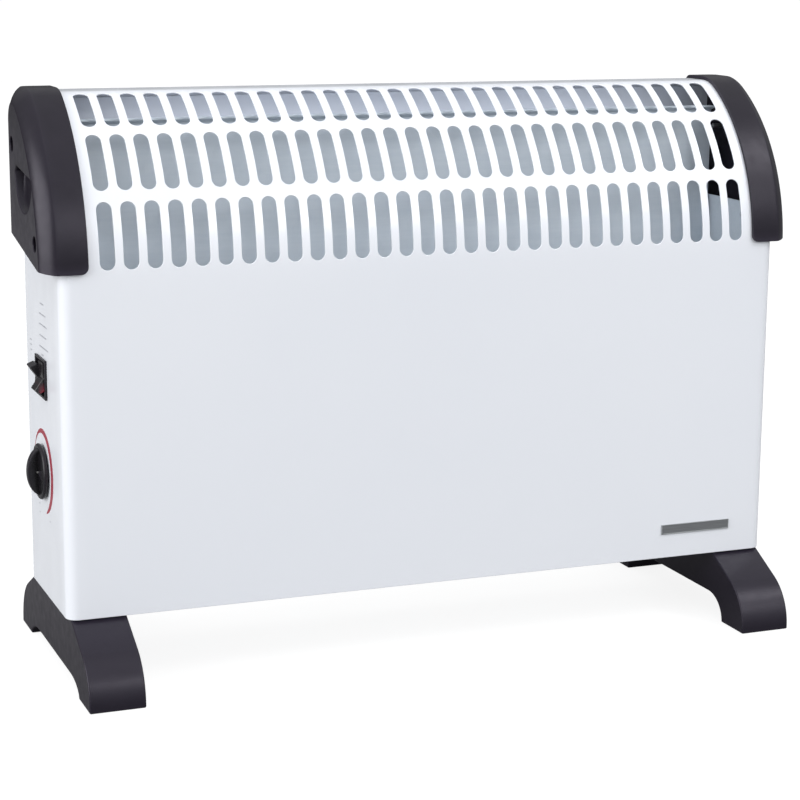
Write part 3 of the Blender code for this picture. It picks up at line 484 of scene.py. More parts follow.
def loft(sections):
    """A closed solid through outlines that all have the same number of points."""
    shape = bmesh.new()
    rings = [[shape.verts.new(point) for point in section] for section in sections]
    for near, far in zip(rings, rings[1:]):
        for i, corner in enumerate(near):
            shape.faces.new((near[i - 1], corner, far[i], far[i - 1]))
    shape.faces.new(reversed(rings[0]))
    shape.faces.new(rings[-1])
    closed(shape)
    return shape


def spin(profile, centre, outward, steps):
    """A (radius, height) profile turned about outward through centre, closed at the axis."""
    shape = bmesh.new()
    turn = Vector((0, 0, 1)).rotation_difference(Vector(outward)).to_matrix()
    rings = []
    for radius, height in profile:
        ring = []
        count = steps if radius > 1e-7 else 1
        for i in range(count):
            angle = math.tau * i / count
            local = Vector((radius * math.cos(angle), radius * math.sin(angle), height))
            ring.append(shape.verts.new(Vector(centre) + turn @ local))
        rings.append(ring)
    for near, far in zip(rings, rings[1:]):
        for i in range(steps):
            corners = [near[i % len(near)], near[(i + 1) % len(near)]]
            corners += [far[(i + 1) % len(far)], far[i % len(far)]]
            unique = list(dict.fromkeys(corners))
            if len(unique) > 2:
                shape.faces.new(unique)
    if len(rings[0]) > 1 and len(rings[-1]) > 1:
        for i in range(steps):
            j = (i + 1) % steps
            shape.faces.new((rings[-1][i], rings[-1][j], rings[0][j], rings[0][i]))
    closed(shape)
    return shape


def thicken(shape, vector):
    """Turns an open sheet into a closed solid by extruding its faces along vector."""
    moved = bmesh.ops.extrude_face_region(shape, geom=list(shape.faces))["geom"]
    far = [item for item in moved if isinstance(item, bmesh.types.BMVert)]
    bmesh.ops.translate(shape, verts=far, vec=vector)
    closed(shape)


def extrude(outline, vector):
    """A flat outline of 3-D points extruded along vector."""
    shape = bmesh.new()
    shape.faces.new([shape.verts.new(point) for point in outline])
    thicken(shape, vector)
    return shape


def block(low, high):
    low, high = Vector(low), Vector(high)
    shape = bmesh.new()
    bmesh.ops.create_cube(shape, size=1)
    bmesh.ops.scale(shape, verts=shape.verts, vec=high - low)
    bmesh.ops.translate(shape, verts=shape.verts, vec=(low + high) / 2)
    return shape


def cylinder(start, end, radius):
    along = Vector(end) - Vector(start)
    profile = [(0, 0), (radius, 0), (radius, along.length), (0, along.length)]
    return spin(profile, start, along, 32)


def carve(made, cutters, added=()):
    """Joins the added shapes to the object, then cuts the cutters out of it."""
    helpers = []
    operations = [("UNION", shape) for shape in added]
    operations += [("DIFFERENCE", shape) for shape in cutters]
    for operation, shape in operations:
        helper = new_object("helper", shape, made.data.materials[0])
        modifier = made.modifiers.new("boolean", "BOOLEAN")
        modifier.operation = operation
        modifier.object = helper
        modifier.solver = "EXACT"
        helpers.append(helper)
    graph = bpy.context.evaluated_depsgraph_get()
    result = bpy.data.meshes.new_from_object(made.evaluated_get(graph))
    made.modifiers.clear()
    made.data = result
    for helper in helpers:
        bpy.data.objects.remove(helper)


def bevel_edges(made, width, segments, angle):
    """Rounds edges sharper than angle degrees."""
    bevel = made.modifiers.new("edge_round", "BEVEL")
    bevel.width = width
    bevel.segments = segments
    bevel.limit_method = "ANGLE"
    bevel.angle_limit = math.radians(angle)
    bevel.harden_normals = True


def soften(made, width, segments, angle=40, smooth_angle=40):
    """Smooth shading and rounded edges, with flat faces still flat-shaded."""
    smooth(made.data, smooth_angle)
    bevel_edges(made, width, segments, angle)


def flatten_normals(made, smooth_angle):
    """Smooth shading in which large faces still look flat."""
    smooth(made.data, smooth_angle)
    weighted = made.modifiers.new("flat_faces", "WEIGHTED_NORMAL")
    weighted.keep_sharp = True


def arc(centre_y, centre_z, radius, first, last, segments):
    """Points of an arc whose angle 0 points towards -Y and 90 degrees points up."""
    for i in range(segments + 1):
        angle = first + (last - first) * i / segments
        yield centre_y - radius * math.cos(angle), centre_z + radius * math.sin(angle)


# ---------------------------------------------------------------- slotted sheets


def clamp(value):
    return max(-1.0, min(1.0, value))


def cell_ring(low, high, cell_low, cell_high, half_width, half_pitch):
    """Matching (slot, border) points round one slot and its cell, as pairs of (u, v)."""
    top, foot = high - half_width, low + half_width
    ring = []

    def end(centre, reach, start):
        for k in range(END_SEGMENTS + 1):
            angle = start + math.pi * k / END_SEGMENTS
            across, up = math.cos(angle), math.sin(angle)
            slot = (half_width * across, centre + half_width * up)
            spread = math.sqrt(2)
            border = (half_pitch * clamp(across * spread), centre + reach * clamp(up * spread))
            ring.append((slot, border))

    def side(sign, start, stop):
        for k in range(1, SIDE_SEGMENTS):
            v = start + (stop - start) * k / SIDE_SEGMENTS
            ring.append(((sign * half_width, v), (sign * half_pitch, v)))

    end(top, cell_high - top, 0)
    side(-1, top, foot)
    end(foot, foot - cell_low, math.pi)
    side(1, foot, top)
    return ring


def end_offsets(half_pitch):
    """Places across a cell's upper and lower border where its mesh has points."""
    quarter = END_SEGMENTS // 4
    angles = [math.pi * k / END_SEGMENTS for k in range(quarter, END_SEGMENTS - quarter + 1)]
    return sorted(half_pitch * clamp(math.cos(angle) * math.sqrt(2)) for angle in angles)


def side_heights(ring, half_pitch):
    """Places up a cell's right border where its mesh has points."""
    return sorted({round(v, 7) for _, (u, v) in ring if abs(u - half_pitch) < 1e-9})


def patch(shape, surface, us, vs, skip=None):
    """A grid of quads over the given lines, leaving out those whose middle skip() rejects."""
    grid = [[shape.verts.new(surface(u, v)) for u in us] for v in vs]
    for j in range(len(vs) - 1):
        for i in range(len(us) - 1):
            middle = ((us[i] + us[i + 1]) / 2, (vs[j] + vs[j + 1]) / 2)
            if skip and skip(*middle):
                continue
            corners = (grid[j][i], grid[j][i + 1], grid[j + 1][i + 1], grid[j + 1][i])
            shape.faces.new(corners)


def slotted_sheet(shape, surface, columns, pitch, width, rows, margin_us, plain_vs):
    """A sheet with rows of slots. rows are (low, high, cell_low, cell_high); plain_vs lists the
    lines of each plain band, which start and end on the rows' cells. Returns the margin's lines."""
    half_pitch = pitch / 2
    middles = [(i - (columns - 1) / 2) * pitch for i in range(columns)]
    edge = columns * half_pitch
    across = sorted({round(m + o, 7) for m in middles for o in end_offsets(half_pitch)})
    right = [edge + m for m in margin_us]
    left = sorted(-u for u in right)
    heights = []
    for low, high, cell_low, cell_high in rows:
        ring = cell_ring(low, high, cell_low, cell_high, width / 2, half_pitch)
        for middle in middles:
            slot = [shape.verts.new(surface(middle + u, v)) for (u, v), _ in ring]
            border = [shape.verts.new(surface(middle + u, v)) for _, (u, v) in ring]
            for i in range(len(ring)):
                shape.faces.new((border[i - 1], border[i], slot[i], slot[i - 1]))
        lines = side_heights(ring, half_pitch)
        heights.append(lines)
        patch(shape, surface, left, lines)
        patch(shape, surface, right, lines)
    for lines in plain_vs:
        patch(shape, surface, left + across[1:-1] + right, lines)
    return heights


def spaced(first, last, count, *extra):
    """Evenly spaced lines, with any extra ones between them."""
    lines = [first + (last - first) * i / count for i in range(count + 1)]
    inner = [v for v in extra if first < v < last]
    return sorted(lines + inner)


def sheet_object(name, shape, outward):
    """Turns an open sheet to face outward and gives it thickness and rolled slot edges."""
    bmesh.ops.remove_doubles(shape, verts=shape.verts, dist=1e-6)
    bmesh.ops.recalc_face_normals(shape, faces=shape.faces)
    facing = sum(face.normal.dot(outward) * face.calc_area() for face in shape.faces)
    if facing < 0:
        bmesh.ops.reverse_faces(shape, faces=shape.faces)
    made = new_object(name, shape, MATERIALS["white_enamel"], 40)
    solid = made.modifiers.new("thickness", "SOLIDIFY")
    solid.thickness = SHEET
    solid.offset = -1
    solid.use_even_offset = True
    bevel_edges(made, 0.00034, 2, 55)
    return made


# ---------------------------------------------------------------- casing

FLAT_LENGTH = ARC_Z - BOTTOM
MAIN_LENGTH = ARC_RADIUS * BLEND_ANGLE
BLEND_LENGTH = BLEND_RADIUS * (math.pi / 2 - BLEND_ANGLE)
TOP_LENGTH = BACK_Y - BACK_CORNER - BLEND_Y
CORNER_LENGTH = BACK_CORNER * math.pi / 2
FLANGE_LENGTH = 0.008


def casing_outline(v):
    """Point (y, z) at distance v along the casing's side outline, from its lower front edge."""
    if v <= FLAT_LENGTH:
        return FRONT_Y, BOTTOM + v
    v -= FLAT_LENGTH
    if v <= MAIN_LENGTH:
        angle = v / ARC_RADIUS
        return ARC_Y - ARC_RADIUS * math.cos(angle), ARC_Z + ARC_RADIUS * math.sin(angle)
    v -= MAIN_LENGTH
    if v <= BLEND_LENGTH:
        angle = BLEND_ANGLE + v / BLEND_RADIUS
        return BLEND_Y - BLEND_RADIUS * math.cos(angle), BLEND_Z + BLEND_RADIUS * math.sin(angle)
    v -= BLEND_LENGTH
    if v <= TOP_LENGTH:
        return BLEND_Y + v, TOP
    v -= TOP_LENGTH
    corner_z = TOP - BACK_CORNER
    if v <= CORNER_LENGTH:
        angle = v / BACK_CORNER
        return (
            BACK_Y - BACK_CORNER + BACK_CORNER * math.sin(angle),
            corner_z + BACK_CORNER * math.cos(angle),
        )
    return BACK_Y, corner_z - (v - CORNER_LENGTH)


def casing_surface(u, v):
    y, z = casing_outline(v)
    return Vector((u, y, z))


def side_surface(side):
    """The rounded front corner and side panel: u runs round the corner, then back."""

    def place(u, v):
        front, z = casing_outline(v)
        corner_length = FRONT_CORNER * math.pi / 2
        if u <= corner_length:
            angle = u / FRONT_CORNER
            x = HALF - FRONT_CORNER + FRONT_CORNER * math.sin(angle)
            return Vector((side * x, front + FRONT_CORNER * (1 - math.cos(angle)), z))
        start = FRONT_Y + FRONT_CORNER
        shift = front - FRONT_Y
        y = start + (u - corner_length)
        y += shift * (BACK_Y - y) / (BACK_Y - start)
        return Vector((side * HALF, y, z))

    return place


HOLES = (
    (SWITCH_Y, SWITCH_Z, (BEZEL_HIGH.y - BEZEL_LOW.y) / 2 - BEZEL_RIM, SWITCH_HOLE_HALF),
    (KNOB_Y, KNOB_Z, KNOB_HOLE_HALF, KNOB_HOLE_HALF),
)


def casing():
    """The slotted front, curved top, rounded corners and side panels as one bent sheet."""
    shape = bmesh.new()
    slots = [
        tuple(FLAT_LENGTH + ARC_RADIUS * math.radians(angle) for angle in row) for row in SLOT_ROWS
    ]
    between = [(a[1] + b[0]) / 2 for a, b in zip(slots, slots[1:])]
    cell_lows = [slots[0][0] - SLOT_MARGIN] + between
    cell_highs = between + [slots[-1][1] + SLOT_MARGIN]
    rows = [(*slot, low, high) for slot, low, high in zip(slots, cell_lows, cell_highs)]
    hole_lines = [
        middle_z + sign * half_z - BOTTOM for _, middle_z, _, half_z in HOLES for sign in (-1, 1)
    ]
    lower = spaced(0, cell_lows[0], 16, *hole_lines)
    blend_end = FLAT_LENGTH + MAIN_LENGTH + BLEND_LENGTH
    corner_start = blend_end + TOP_LENGTH
    corner_end = corner_start + CORNER_LENGTH
    upper = (
        spaced(cell_highs[-1], blend_end, 6)
        + spaced(blend_end, corner_start, 3)[1:]
        + spaced(corner_start, corner_end, 6)[1:]
        + spaced(corner_end, corner_end + FLANGE_LENGTH, 2)[1:]
    )
    margin = HALF - FRONT_CORNER - SLOT_COLUMNS * SLOT_PITCH / 2
    heights = slotted_sheet(
        shape,
        casing_surface,
        SLOT_COLUMNS,
        SLOT_PITCH,
        SLOT_WIDTH,
        rows,
        [0, margin / 2, margin],
        [lower, upper],
    )
    side_top = [v for v in heights[0] if casing_outline(v)[1] < SIDE_TOP]
    corner_length = FRONT_CORNER * math.pi / 2
    start = FRONT_Y + FRONT_CORNER
    edges_y = [y + sign * half for y, _, half, _ in HOLES for sign in (-1, 1)]
    hole_us = [y - start + corner_length for y in edges_y]
    depth = spaced(corner_length, corner_length + BACK_Y - start, 8, *hole_us)
    around = spaced(0, corner_length, 8) + depth[1:]

    def in_hole(u, v):
        y, z = u - corner_length + start, v + BOTTOM
        return any(abs(y - hy) < half_y and abs(z - hz) < half_z for hy, hz, half_y, half_z in HOLES)

    under_cap = heights[0][len(side_top) - 1 :] + heights[1][1:] + heights[2][1:] + upper[1:]
    for side in (-1, 1):
        skip = in_hole if side < 0 else None
        patch(shape, side_surface(side), around, lower, skip)
        patch(shape, side_surface(side), around, side_top, skip)
        hidden = sorted((side * (HALF - FRONT_CORNER), side * (HALF - UNDER_CAP_GAP)))
        patch(shape, casing_surface, hidden, under_cap)
    made = sheet_object("casing_shell", shape, Vector((0, -1, 0.4)))
    piece(made, "heater", "white_enamel", "front_casing")


def rear_panel():
    """Flat slotted back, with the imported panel's slot rows. Behind the caps it reaches the sides."""
    shape = bmesh.new()

    def surface(u, v):
        return Vector((REAR_MIDDLE_X + u, REAR_HIGH.y, v))

    rows = [
        (z - REAR_SLOT_HALF, z + REAR_SLOT_HALF, z - REAR_CELL_HALF, z + REAR_CELL_HALF)
        for z in REAR_ROW_ZS
    ]
    lower = spaced(REAR_LOW.z, rows[0][2], 4)
    upper = spaced(rows[1][3], REAR_HIGH.z, 8)
    band = spaced(rows[0][3], rows[1][2], 1)
    margin = REAR_HIGH.x - REAR_MIDDLE_X - REAR_COLUMNS * REAR_PITCH / 2
    heights = slotted_sheet(
        shape,
        surface,
        REAR_COLUMNS,
        REAR_PITCH,
        REAR_WIDTH,
        rows,
        [0, margin],
        [lower, band, upper],
    )
    left_strip = [REAR_LOW.x - REAR_MIDDLE_X, REAR_MIDDLE_X - REAR_HIGH.x]
    lines = lower + heights[0][1:-1] + band + heights[1][1:-1] + upper
    patch(shape, surface, left_strip, lines)
    behind_cap = [z for z in upper if z > SIDE_TOP]
    for edge, reach in ((REAR_LOW.x, -HALF), (REAR_HIGH.x, HALF)):
        patch(shape, surface, sorted((edge - REAR_MIDDLE_X, reach - REAR_MIDDLE_X)), behind_cap)
    made = sheet_object("back_panel", shape, Vector((0, 1, 0)))
    piece(made, "heater", "white_enamel", "rear_panel")


# ---------------------------------------------------------------- end caps


def body_outline(offset, bottom, back, back_corner, back_bottom):
    """Side outline of the casing moved out by offset, from its front foot round to its back."""
    radius = ARC_RADIUS + offset
    start = math.asin(max(0.0, bottom - ARC_Z) / radius)
    corner_y, corner_z = back - back_corner, TOP + offset - back_corner
    points = list(arc(ARC_Y, ARC_Z, radius, start, BLEND_ANGLE, 36))
    points += list(arc(BLEND_Y, BLEND_Z, BLEND_RADIUS + offset, BLEND_ANGLE, math.pi / 2, 8))[1:]
    points += arc(corner_y, corner_z, back_corner, math.pi / 2, math.pi, 10)
    points.append((back, back_bottom))
    return points


def cap_section(x, inset, back_inset, bottom_inset, back_corner):
    back = BACK_Y - back_inset
    bottom = CAP_BOTTOM + bottom_inset
    rise = max(0.0, back - CAP_LEVEL_Y) * CAP_SLOPE
    corner = min(back_corner, back - BLEND_Y - 0.0005)
    points = body_outline(CAP_PROUD - inset, bottom, back, corner, bottom + rise)
    points.append((max(CAP_LEVEL_Y, points[0][0] + 0.002), bottom))
    return [Vector((x, y, z)) for y, z in points]


def back_round(x):
    """How far the cap's back is rounded in at x."""
    reach = max(0.0, x - (CAP_OUTER_X - CAP_BACK_ROUND))
    return CAP_BACK_ROUND - math.sqrt(max(0.0, CAP_BACK_ROUND**2 - reach**2))


def cap_sections(side):
    """Cross-sections from the cap's inner edge to its side face, with the rim a soft chamfer."""
    sections = []
    for step in range(6):
        angle = math.radians(18 * step)
        x = CAP_INNER_X + CAP_LIP_ROUND * (1 - math.cos(angle))
        lift = CAP_LIP_ROUND * (1 - math.sin(angle))
        sections.append(cap_section(side * x, 0, back_round(x), lift, CAP_BACK_CORNER))
    for x in CAP_PLAIN_XS:
        sections.append(cap_section(side * x, 0, back_round(x), 0, CAP_BACK_CORNER))
    power = 2 / CAP_RIM_POWER
    for step in range(15):
        angle = math.radians(90 * step / 14)
        x = CAP_OUTER_X - CAP_RIM * (1 - math.sin(angle) ** power)
        inset = CAP_RIM * (1 - max(0.0, math.cos(angle)) ** power)
        back = back_round(x)
        corner = CAP_BACK_CORNER + 0.7 * back
        sections.append(cap_section(side * x, inset, back, 0.15 * inset, corner))
    return sections


def casing_room(side):
    """The space that the casing's end takes up inside a cap."""
    corner = BACK_CORNER
    outline = [(FRONT_Y - GAP, CAP_BOTTOM - 0.02)]
    outline += body_outline(GAP, ARC_Z, BACK_Y + GAP, corner, CAP_BOTTOM - 0.02)
    ends = sorted((side * (CAP_INNER_X - 0.005), side * (HALF + GAP)))
    return extrude([Vector((ends[0], y, z)) for y, z in outline], (ends[1] - ends[0], 0, 0))


def grip_section(x, grow, scoop):
    """Half disc of the hand grip at x; scoop makes it shallower towards its lower edge."""
    radius = GRIP_RADIUS + grow
    corner = math.radians(9)
    angles = [math.pi + GRIP_TILT + corner + (math.pi - 2 * corner) * i / 28 for i in range(29)]
    points = [(GRIP_Y + radius * math.cos(a), GRIP_Z + radius * math.sin(a)) for a in angles]
    reach = radius * 0.86
    for side in (1, -1):
        along = side * reach
        points.append(
            (
                GRIP_Y + along * math.cos(GRIP_TILT) - grow * math.sin(GRIP_TILT),
                GRIP_Z + along * math.sin(GRIP_TILT) + grow * math.cos(GRIP_TILT),
            )
        )
    section = []
    for y, z in points:
        drop = clamp((GRIP_Z - z) / GRIP_RADIUS)
        section.append(Vector((x + scoop * max(0.0, drop), y, z)))
    return section


def grip_recess(side):
    """Cutter for the hand grip: flared mouth, straight upper wall, floor rising to the lower edge."""
    return loft(
        [
            grip_section(side * (CAP_OUTER_X + 0.0020), 0.0012, 0.0),
            grip_section(side * CAP_OUTER_X, 0.0010, 0.0),
            grip_section(side * (CAP_OUTER_X - 0.0004), 0.0003, 0.0),
            grip_section(side * (CAP_OUTER_X - 0.0014), -0.0002, 0.0),
            grip_section(side * (GRIP_DEEP_X + 0.0012), -0.0010, side * 0.0038),
            grip_section(side * (GRIP_DEEP_X + 0.0002), -0.0024, side * 0.0041),
            grip_section(side * GRIP_DEEP_X, -0.0050, side * 0.0037),
        ]
    )


def counterbore(side, y, z):
    """Cutter for a screw's counterbore, with a small chamfer at its mouth."""
    profile = [
        (0, 0.0120),
        (COUNTERBORE_RADIUS + 0.0024, 0.0120),
        (COUNTERBORE_RADIUS + 0.0004, CAP_OUTER_X - COUNTERBORE_FLOOR_X + 0.0001),
        (COUNTERBORE_RADIUS, CAP_OUTER_X - COUNTERBORE_FLOOR_X - 0.0006),
        (COUNTERBORE_RADIUS, 0),
        (0, 0),
    ]
    return spin(profile, (side * COUNTERBORE_FLOOR_X, y, z), (side, 0, 0), 40)


def end_cap(name, side):
    made = new_object(f"{name}_moulding", loft(cap_sections(side)), MATERIALS["charcoal_plastic"])
    bores = [counterbore(side, y, z) for y, z in CAP_SCREWS]
    carve(made, [casing_room(side), grip_recess(side), *bores])
    flatten_normals(made, 28)
    piece(made, "heater", "charcoal_plastic", name)


# ---------------------------------------------------------------- feet


def foot_section(x, underside, ramp_end):
    """Side outline of a foot at x, as 3-D points."""
    nose_y = FOOT_HIGH.y - FOOT_NOSE_RADIUS
    front = [(-FOOT_TOP_HALF, FOOT_HIGH.z)]
    front += arc(-nose_y, FOOT_NOSE_Z, FOOT_NOSE_RADIUS, FOOT_NOSE_ANGLE, 0, 18)
    front.append((FOOT_LOW.y, 0))
    reach = SOLE_INNER_Y - ramp_end
    for i in range(15):
        angle = math.radians(90 * i / 14)
        front.append((-ramp_end - reach * math.cos(angle), underside * math.sin(angle)))
    back = [(-y, z) for y, z in reversed(front)]
    return [Vector((x, y, z)) for y, z in front + back]


def foot(name, side):
    inner, outer = side * FOOT_LOW.x, side * FOOT_HIGH.x
    shape = loft([foot_section(inner, 0.0180, 0.052), foot_section(outer, 0.0096, 0.048)])
    made = new_object(f"{name}_moulding", shape, MATERIALS["charcoal_plastic"])
    x = side * FOOT_SCREW_X
    seats = [(x, y, FOOT_SCREW_Z) for _, y in FOOT_SCREW_YS]
    carve(made, [cylinder((x, y, 0), (x, y, z), FOOT_BORE_RADIUS) for x, y, z in seats])
    soften(made, 0.0024, 4, 50, 50)
    piece(made, "heater", "charcoal_plastic", name)


# ---------------------------------------------------------------- screws


def pan_head(node, seat, outward, radius, height):
    """Domed pan head with a cross recess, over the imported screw's shank."""
    profile = [(0, height)]
    for i in range(1, 9):
        angle = math.radians(90 * i / 8)
        profile.append(
            (radius * math.sin(angle) ** 0.8, height * (0.35 + 0.65 * math.cos(angle)))
        )
    profile += [(radius, 0), (radius * 0.45, 0), (radius * 0.45, -0.0100), (0, -0.0118)]
    shape = spin(profile, seat, outward, 40)
    made = new_object(f"{node}_head", shape, MATERIALS["zinc_screw"])
    turn = Vector((0, 0, 1)).rotation_difference(Vector(outward)).to_matrix().to_4x4()
    place = Matrix.Translation(Vector(seat)) @ turn
    cutters = []
    for quarter in (20, 110):
        bar = block(
            (-radius * 0.62, -radius * 0.13, height * 0.35),
            (radius * 0.62, radius * 0.13, height + 0.002),
        )
        bar.transform(place @ Matrix.Rotation(math.radians(quarter), 4, "Z"))
        cutters.append(bar)
    carve(made, cutters)
    smooth(made.data, 32)
    piece(made, "heater", "zinc_screw", node)


def screws():
    for side_name, side in (("left", -1), ("right", 1)):
        for place, (y, z) in zip(("upper", "lower"), CAP_SCREWS):
            node = f"{side_name}_cap_{place}_screw"
            seat = (side * (COUNTERBORE_FLOOR_X + GAP), y, z)
            pan_head(node, seat, (side, 0, 0), *LARGE_HEAD)
        for place, y in FOOT_SCREW_YS:
            node = f"{side_name}_foot_{place}_screw"
            seat = (side * FOOT_SCREW_X, y, FOOT_SCREW_Z - GAP)
            pan_head(node, seat, (0, 0, -1), *LARGE_HEAD)
    for level in ("lower", "upper"):
        for side_name in ("left", "right"):
            node = f"rear_screw_{level}_{side_name}"
            low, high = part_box(node)
            seat = ((low.x + high.x) / 2, REAR_HIGH.y + GAP, (low.z + high.z) / 2)
            pan_head(node, seat, (0, 1, 0), *SMALL_HEAD)


# ---------------------------------------------------------------- controls


def bezel():
    """Switch frame: bevelled rim round one deep well for both rockers."""
    rim = block(BEZEL_LOW, (-HALF - GAP, BEZEL_HIGH.y, BEZEL_HIGH.z))
    made = new_object("switch_bezel", rim, MATERIALS["black_plastic"])
    inset = 0.0013
    body = block(
        (-HALF - 0.0008, BEZEL_LOW.y + inset, BEZEL_LOW.z + inset),
        (BEZEL_HIGH.x, BEZEL_HIGH.y - inset, BEZEL_HIGH.z - inset),
    )
    well = block(
        (BEZEL_LOW.x - 0.002, SWITCH_Y - WELL_HALF_Y, SWITCH_Z - WELL_HALF_Z),
        (WELL_FLOOR_X, SWITCH_Y + WELL_HALF_Y, SWITCH_Z + WELL_HALF_Z),
    )
    carve(made, [well], [body])
    soften(made, 0.0005, 3)
    piece(made, "heater", "black_plastic", "switch_housing")


def rocker(name, slot, body):
    """Rocker with two finger faces in a shallow V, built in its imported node's box."""
    low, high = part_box(name)
    middle_y = (low.y + high.y) / 2
    half_width = (high.y - low.y) / 2
    joint = next(j for j in frame["joints"] if j["child"] == body)
    pivot = Vector(joint["pos_m"])
    tilt = math.radians(-sum(joint["range_deg"]) / 2)
    outline = []
    for i in range(13):
        z = ROCKER_HALF * (1 - i / 6)
        dip = 0.0046 + 0.0034 * (abs(z) / ROCKER_HALF) ** 0.85
        outline.append((-dip, z))
    outline += [(-0.0030, -0.0101), (0.0020, -0.0050), (0.0020, 0.0050), (-0.0030, 0.0101)]
    turn = Matrix.Rotation(tilt, 3, "Y")
    start = Vector((pivot.x, middle_y - half_width, pivot.z))
    points = [start + turn @ Vector((x, 0, z)) for x, z in outline]
    shape = extrude(points, (0, 2 * half_width, 0))
    made = new_object(f"{name}_moulding", shape, MATERIALS[slot])
    soften(made, 0.0007, 3, 38, 30)
    piece(made, body, slot, name)


def knob():
    """Round skirt with a rolled edge and an upright domed grip."""
    base = KNOB_HIGH.x
    skirt = [(0, 0.0038), (KNOB_RADIUS - 0.0062, 0.0036), (KNOB_RADIUS - 0.0050, 0.0030)]
    skirt.append((KNOB_RADIUS - 0.0040, 0.0030))
    for i in range(9):
        angle = math.radians(90 - 22.5 * i)
        skirt.append(
            (KNOB_RADIUS - 0.0017 + 0.0017 * math.cos(angle), 0.0017 + 0.0016 * math.sin(angle))
        )
    skirt += [(KNOB_RADIUS - 0.0030, 0.0), (0, 0.0)]
    shape = spin(skirt, (base, KNOB_Y, KNOB_Z), (-1, 0, 0), 96)
    made = new_object("knob_moulding", shape, MATERIALS["black_plastic"])
    rise = base - KNOB_LOW.x
    half_height = 0.0160
    rounding = ((-0.0032, 0.0011), (-0.0029, 0.0004), (-0.0022, 0.0))
    rings = []
    for y, shrink in rounding + tuple((-y, shrink) for y, shrink in reversed(rounding)):
        ring = []
        for i in range(41):
            angle = -math.pi / 2 + math.pi * i / 40
            height = (half_height - shrink) * math.sin(angle)
            depth = 0.0012 + (rise - 0.0012 - shrink) * math.cos(angle) ** 0.95
            ring.append(Vector((base - depth, KNOB_Y + y, KNOB_Z + height)))
        rings.append(ring)
    grip = loft(rings)
    mouth, end = (base + 0.002, KNOB_Y, KNOB_Z), (KNOB_SOCKET_X, KNOB_Y, KNOB_Z)
    socket = cylinder(mouth, end, KNOB_SOCKET_RADIUS)
    carve(made, [socket], [grip])
    flatten_normals(made, 35)
    piece(made, "knob", "black_plastic", "thermostat_knob")


def stroke(name, y, z, length):
    """A thin level stroke of grey ink on the left side panel."""
    half_y, half_z = length / 2, STROKE_HEIGHT / 2
    points = [(y - half_y, z - half_z), (y + half_y, z - half_z)]
    points += [(y + half_y, z + half_z), (y - half_y, z + half_z)]
    shape = extrude([Vector((PRINT_X, *point)) for point in points], (INK, 0, 0))
    piece(new_object(name, shape, GREY_PRINT), "heater", "white_enamel")


def knob_arc():
    """Printed arc round the knob, from the back over the top to below it, thickest in front."""
    outer, inner = [], []
    steps = 60
    for i in range(steps + 1):
        t = i / steps
        angle = math.radians(ARC_START + (ARC_END - ARC_START) * t)
        width = ARC_THIN + (ARC_THICK - ARC_THIN) * math.sin(math.pi * t**1.6) ** 0.8
        across, up = -math.sin(angle), math.cos(angle)
        for edge, radius in ((outer, ARC_OUTER), (inner, ARC_OUTER - width)):
            edge.append((KNOB_Y + radius * across, KNOB_Z + radius * up))
    shape = bmesh.new()
    front = [
        (shape.verts.new((PRINT_X, *a)), shape.verts.new((PRINT_X, *b)))
        for a, b in zip(outer, inner)
    ]
    for near, far in zip(front, front[1:]):
        shape.faces.new((near[0], near[1], far[1], far[0]))
    thicken(shape, (INK, 0, 0))
    piece(new_object("knob_scale", shape, RED_PRINT), "heater", "white_enamel")


def marks():
    """Plain printed strokes: above and behind the switches, and at the ends of the scale."""
    strokes = (
        (-0.003, 0.2480, 0.010),
        (-0.004, 0.2410, 0.018),
        (-0.005, 0.2340, 0.022),
        (-0.004, 0.2265, 0.020),
        (-0.006, 0.2190, 0.026),
        (-0.002, 0.2140, 0.006),
        (0.034, 0.2185, 0.004),
        (0.034, 0.2150, 0.004),
        (0.034, 0.2115, 0.004),
    )
    for number, (y, z, length) in enumerate(strokes):
        stroke(f"panel_stroke_{number}", y, z, length)
    for number, (y, z) in enumerate(((0.020, 0.1085), (0.020, 0.1025), (-0.012, 0.1035))):
        stroke(f"scale_tick_{number}", y, z, 0.0024)


def badge():
    """Plain plate with a raised lighter border and no lettering."""
    shape = block(BADGE_LOW, BADGE_HIGH)
    made = new_object("badge_plate", shape, BADGE_BORDER)
    made.data.materials.append(MATERIALS["badge_grey"])
    inset = 0.0006
    field = block(
        (BADGE_LOW.x + inset, BADGE_LOW.y - 0.001, BADGE_LOW.z + inset),
        (BADGE_HIGH.x - inset, BADGE_LOW.y + 0.0002, BADGE_HIGH.z - inset),
    )
    carve(made, [field])
    for face in made.data.polygons:
        inside = all(
            abs(made.data.vertices[i].co.y - (BADGE_LOW.y + 0.0002)) < 1e-6 for i in face.vertices
        )
        face.material_index = 1 if inside else 0
    soften(made, 0.00008, 2)
    piece(made, "heater", "badge_grey", "front_badge")


def gland():
    """Ribbed collar of the cord inlet."""
    y, z = GLAND_HIGH.y, (GLAND_LOW.z + GLAND_HIGH.z) / 2
    x = (GLAND_LOW.x + GLAND_HIGH.x) / 2
    length = GLAND_HIGH.y - GLAND_LOW.y
    collar = length - 0.0080
    profile = [(0.0045, length)]
    for i in range(7):
        angle = math.radians(15 * i)
        profile.append((0.0065 + 0.0010 * math.sin(angle), length - 0.0010 + 0.0010 * math.cos(angle)))
    for rib in range(3):
        height = length - 0.0022 - 0.0016 * rib
        radius = 0.0079 + 0.0005 * rib
        profile += [(radius, height), (radius - 0.0005, height - 0.0007)]
    profile += [(0.0095, collar + 0.0012), (0.0095, collar + 0.0003), (0.0063, collar + 0.0003)]
    profile += [(0.0063, 0), (0.0045, 0)]
    shape = spin(profile, (x, GLAND_LOW.y, z), (0, 1, 0), 56)
    made = new_object("gland_moulding", shape, MATERIALS["black_plastic"], 30)
    piece(made, "heater", "black_plastic", "cord_gland")


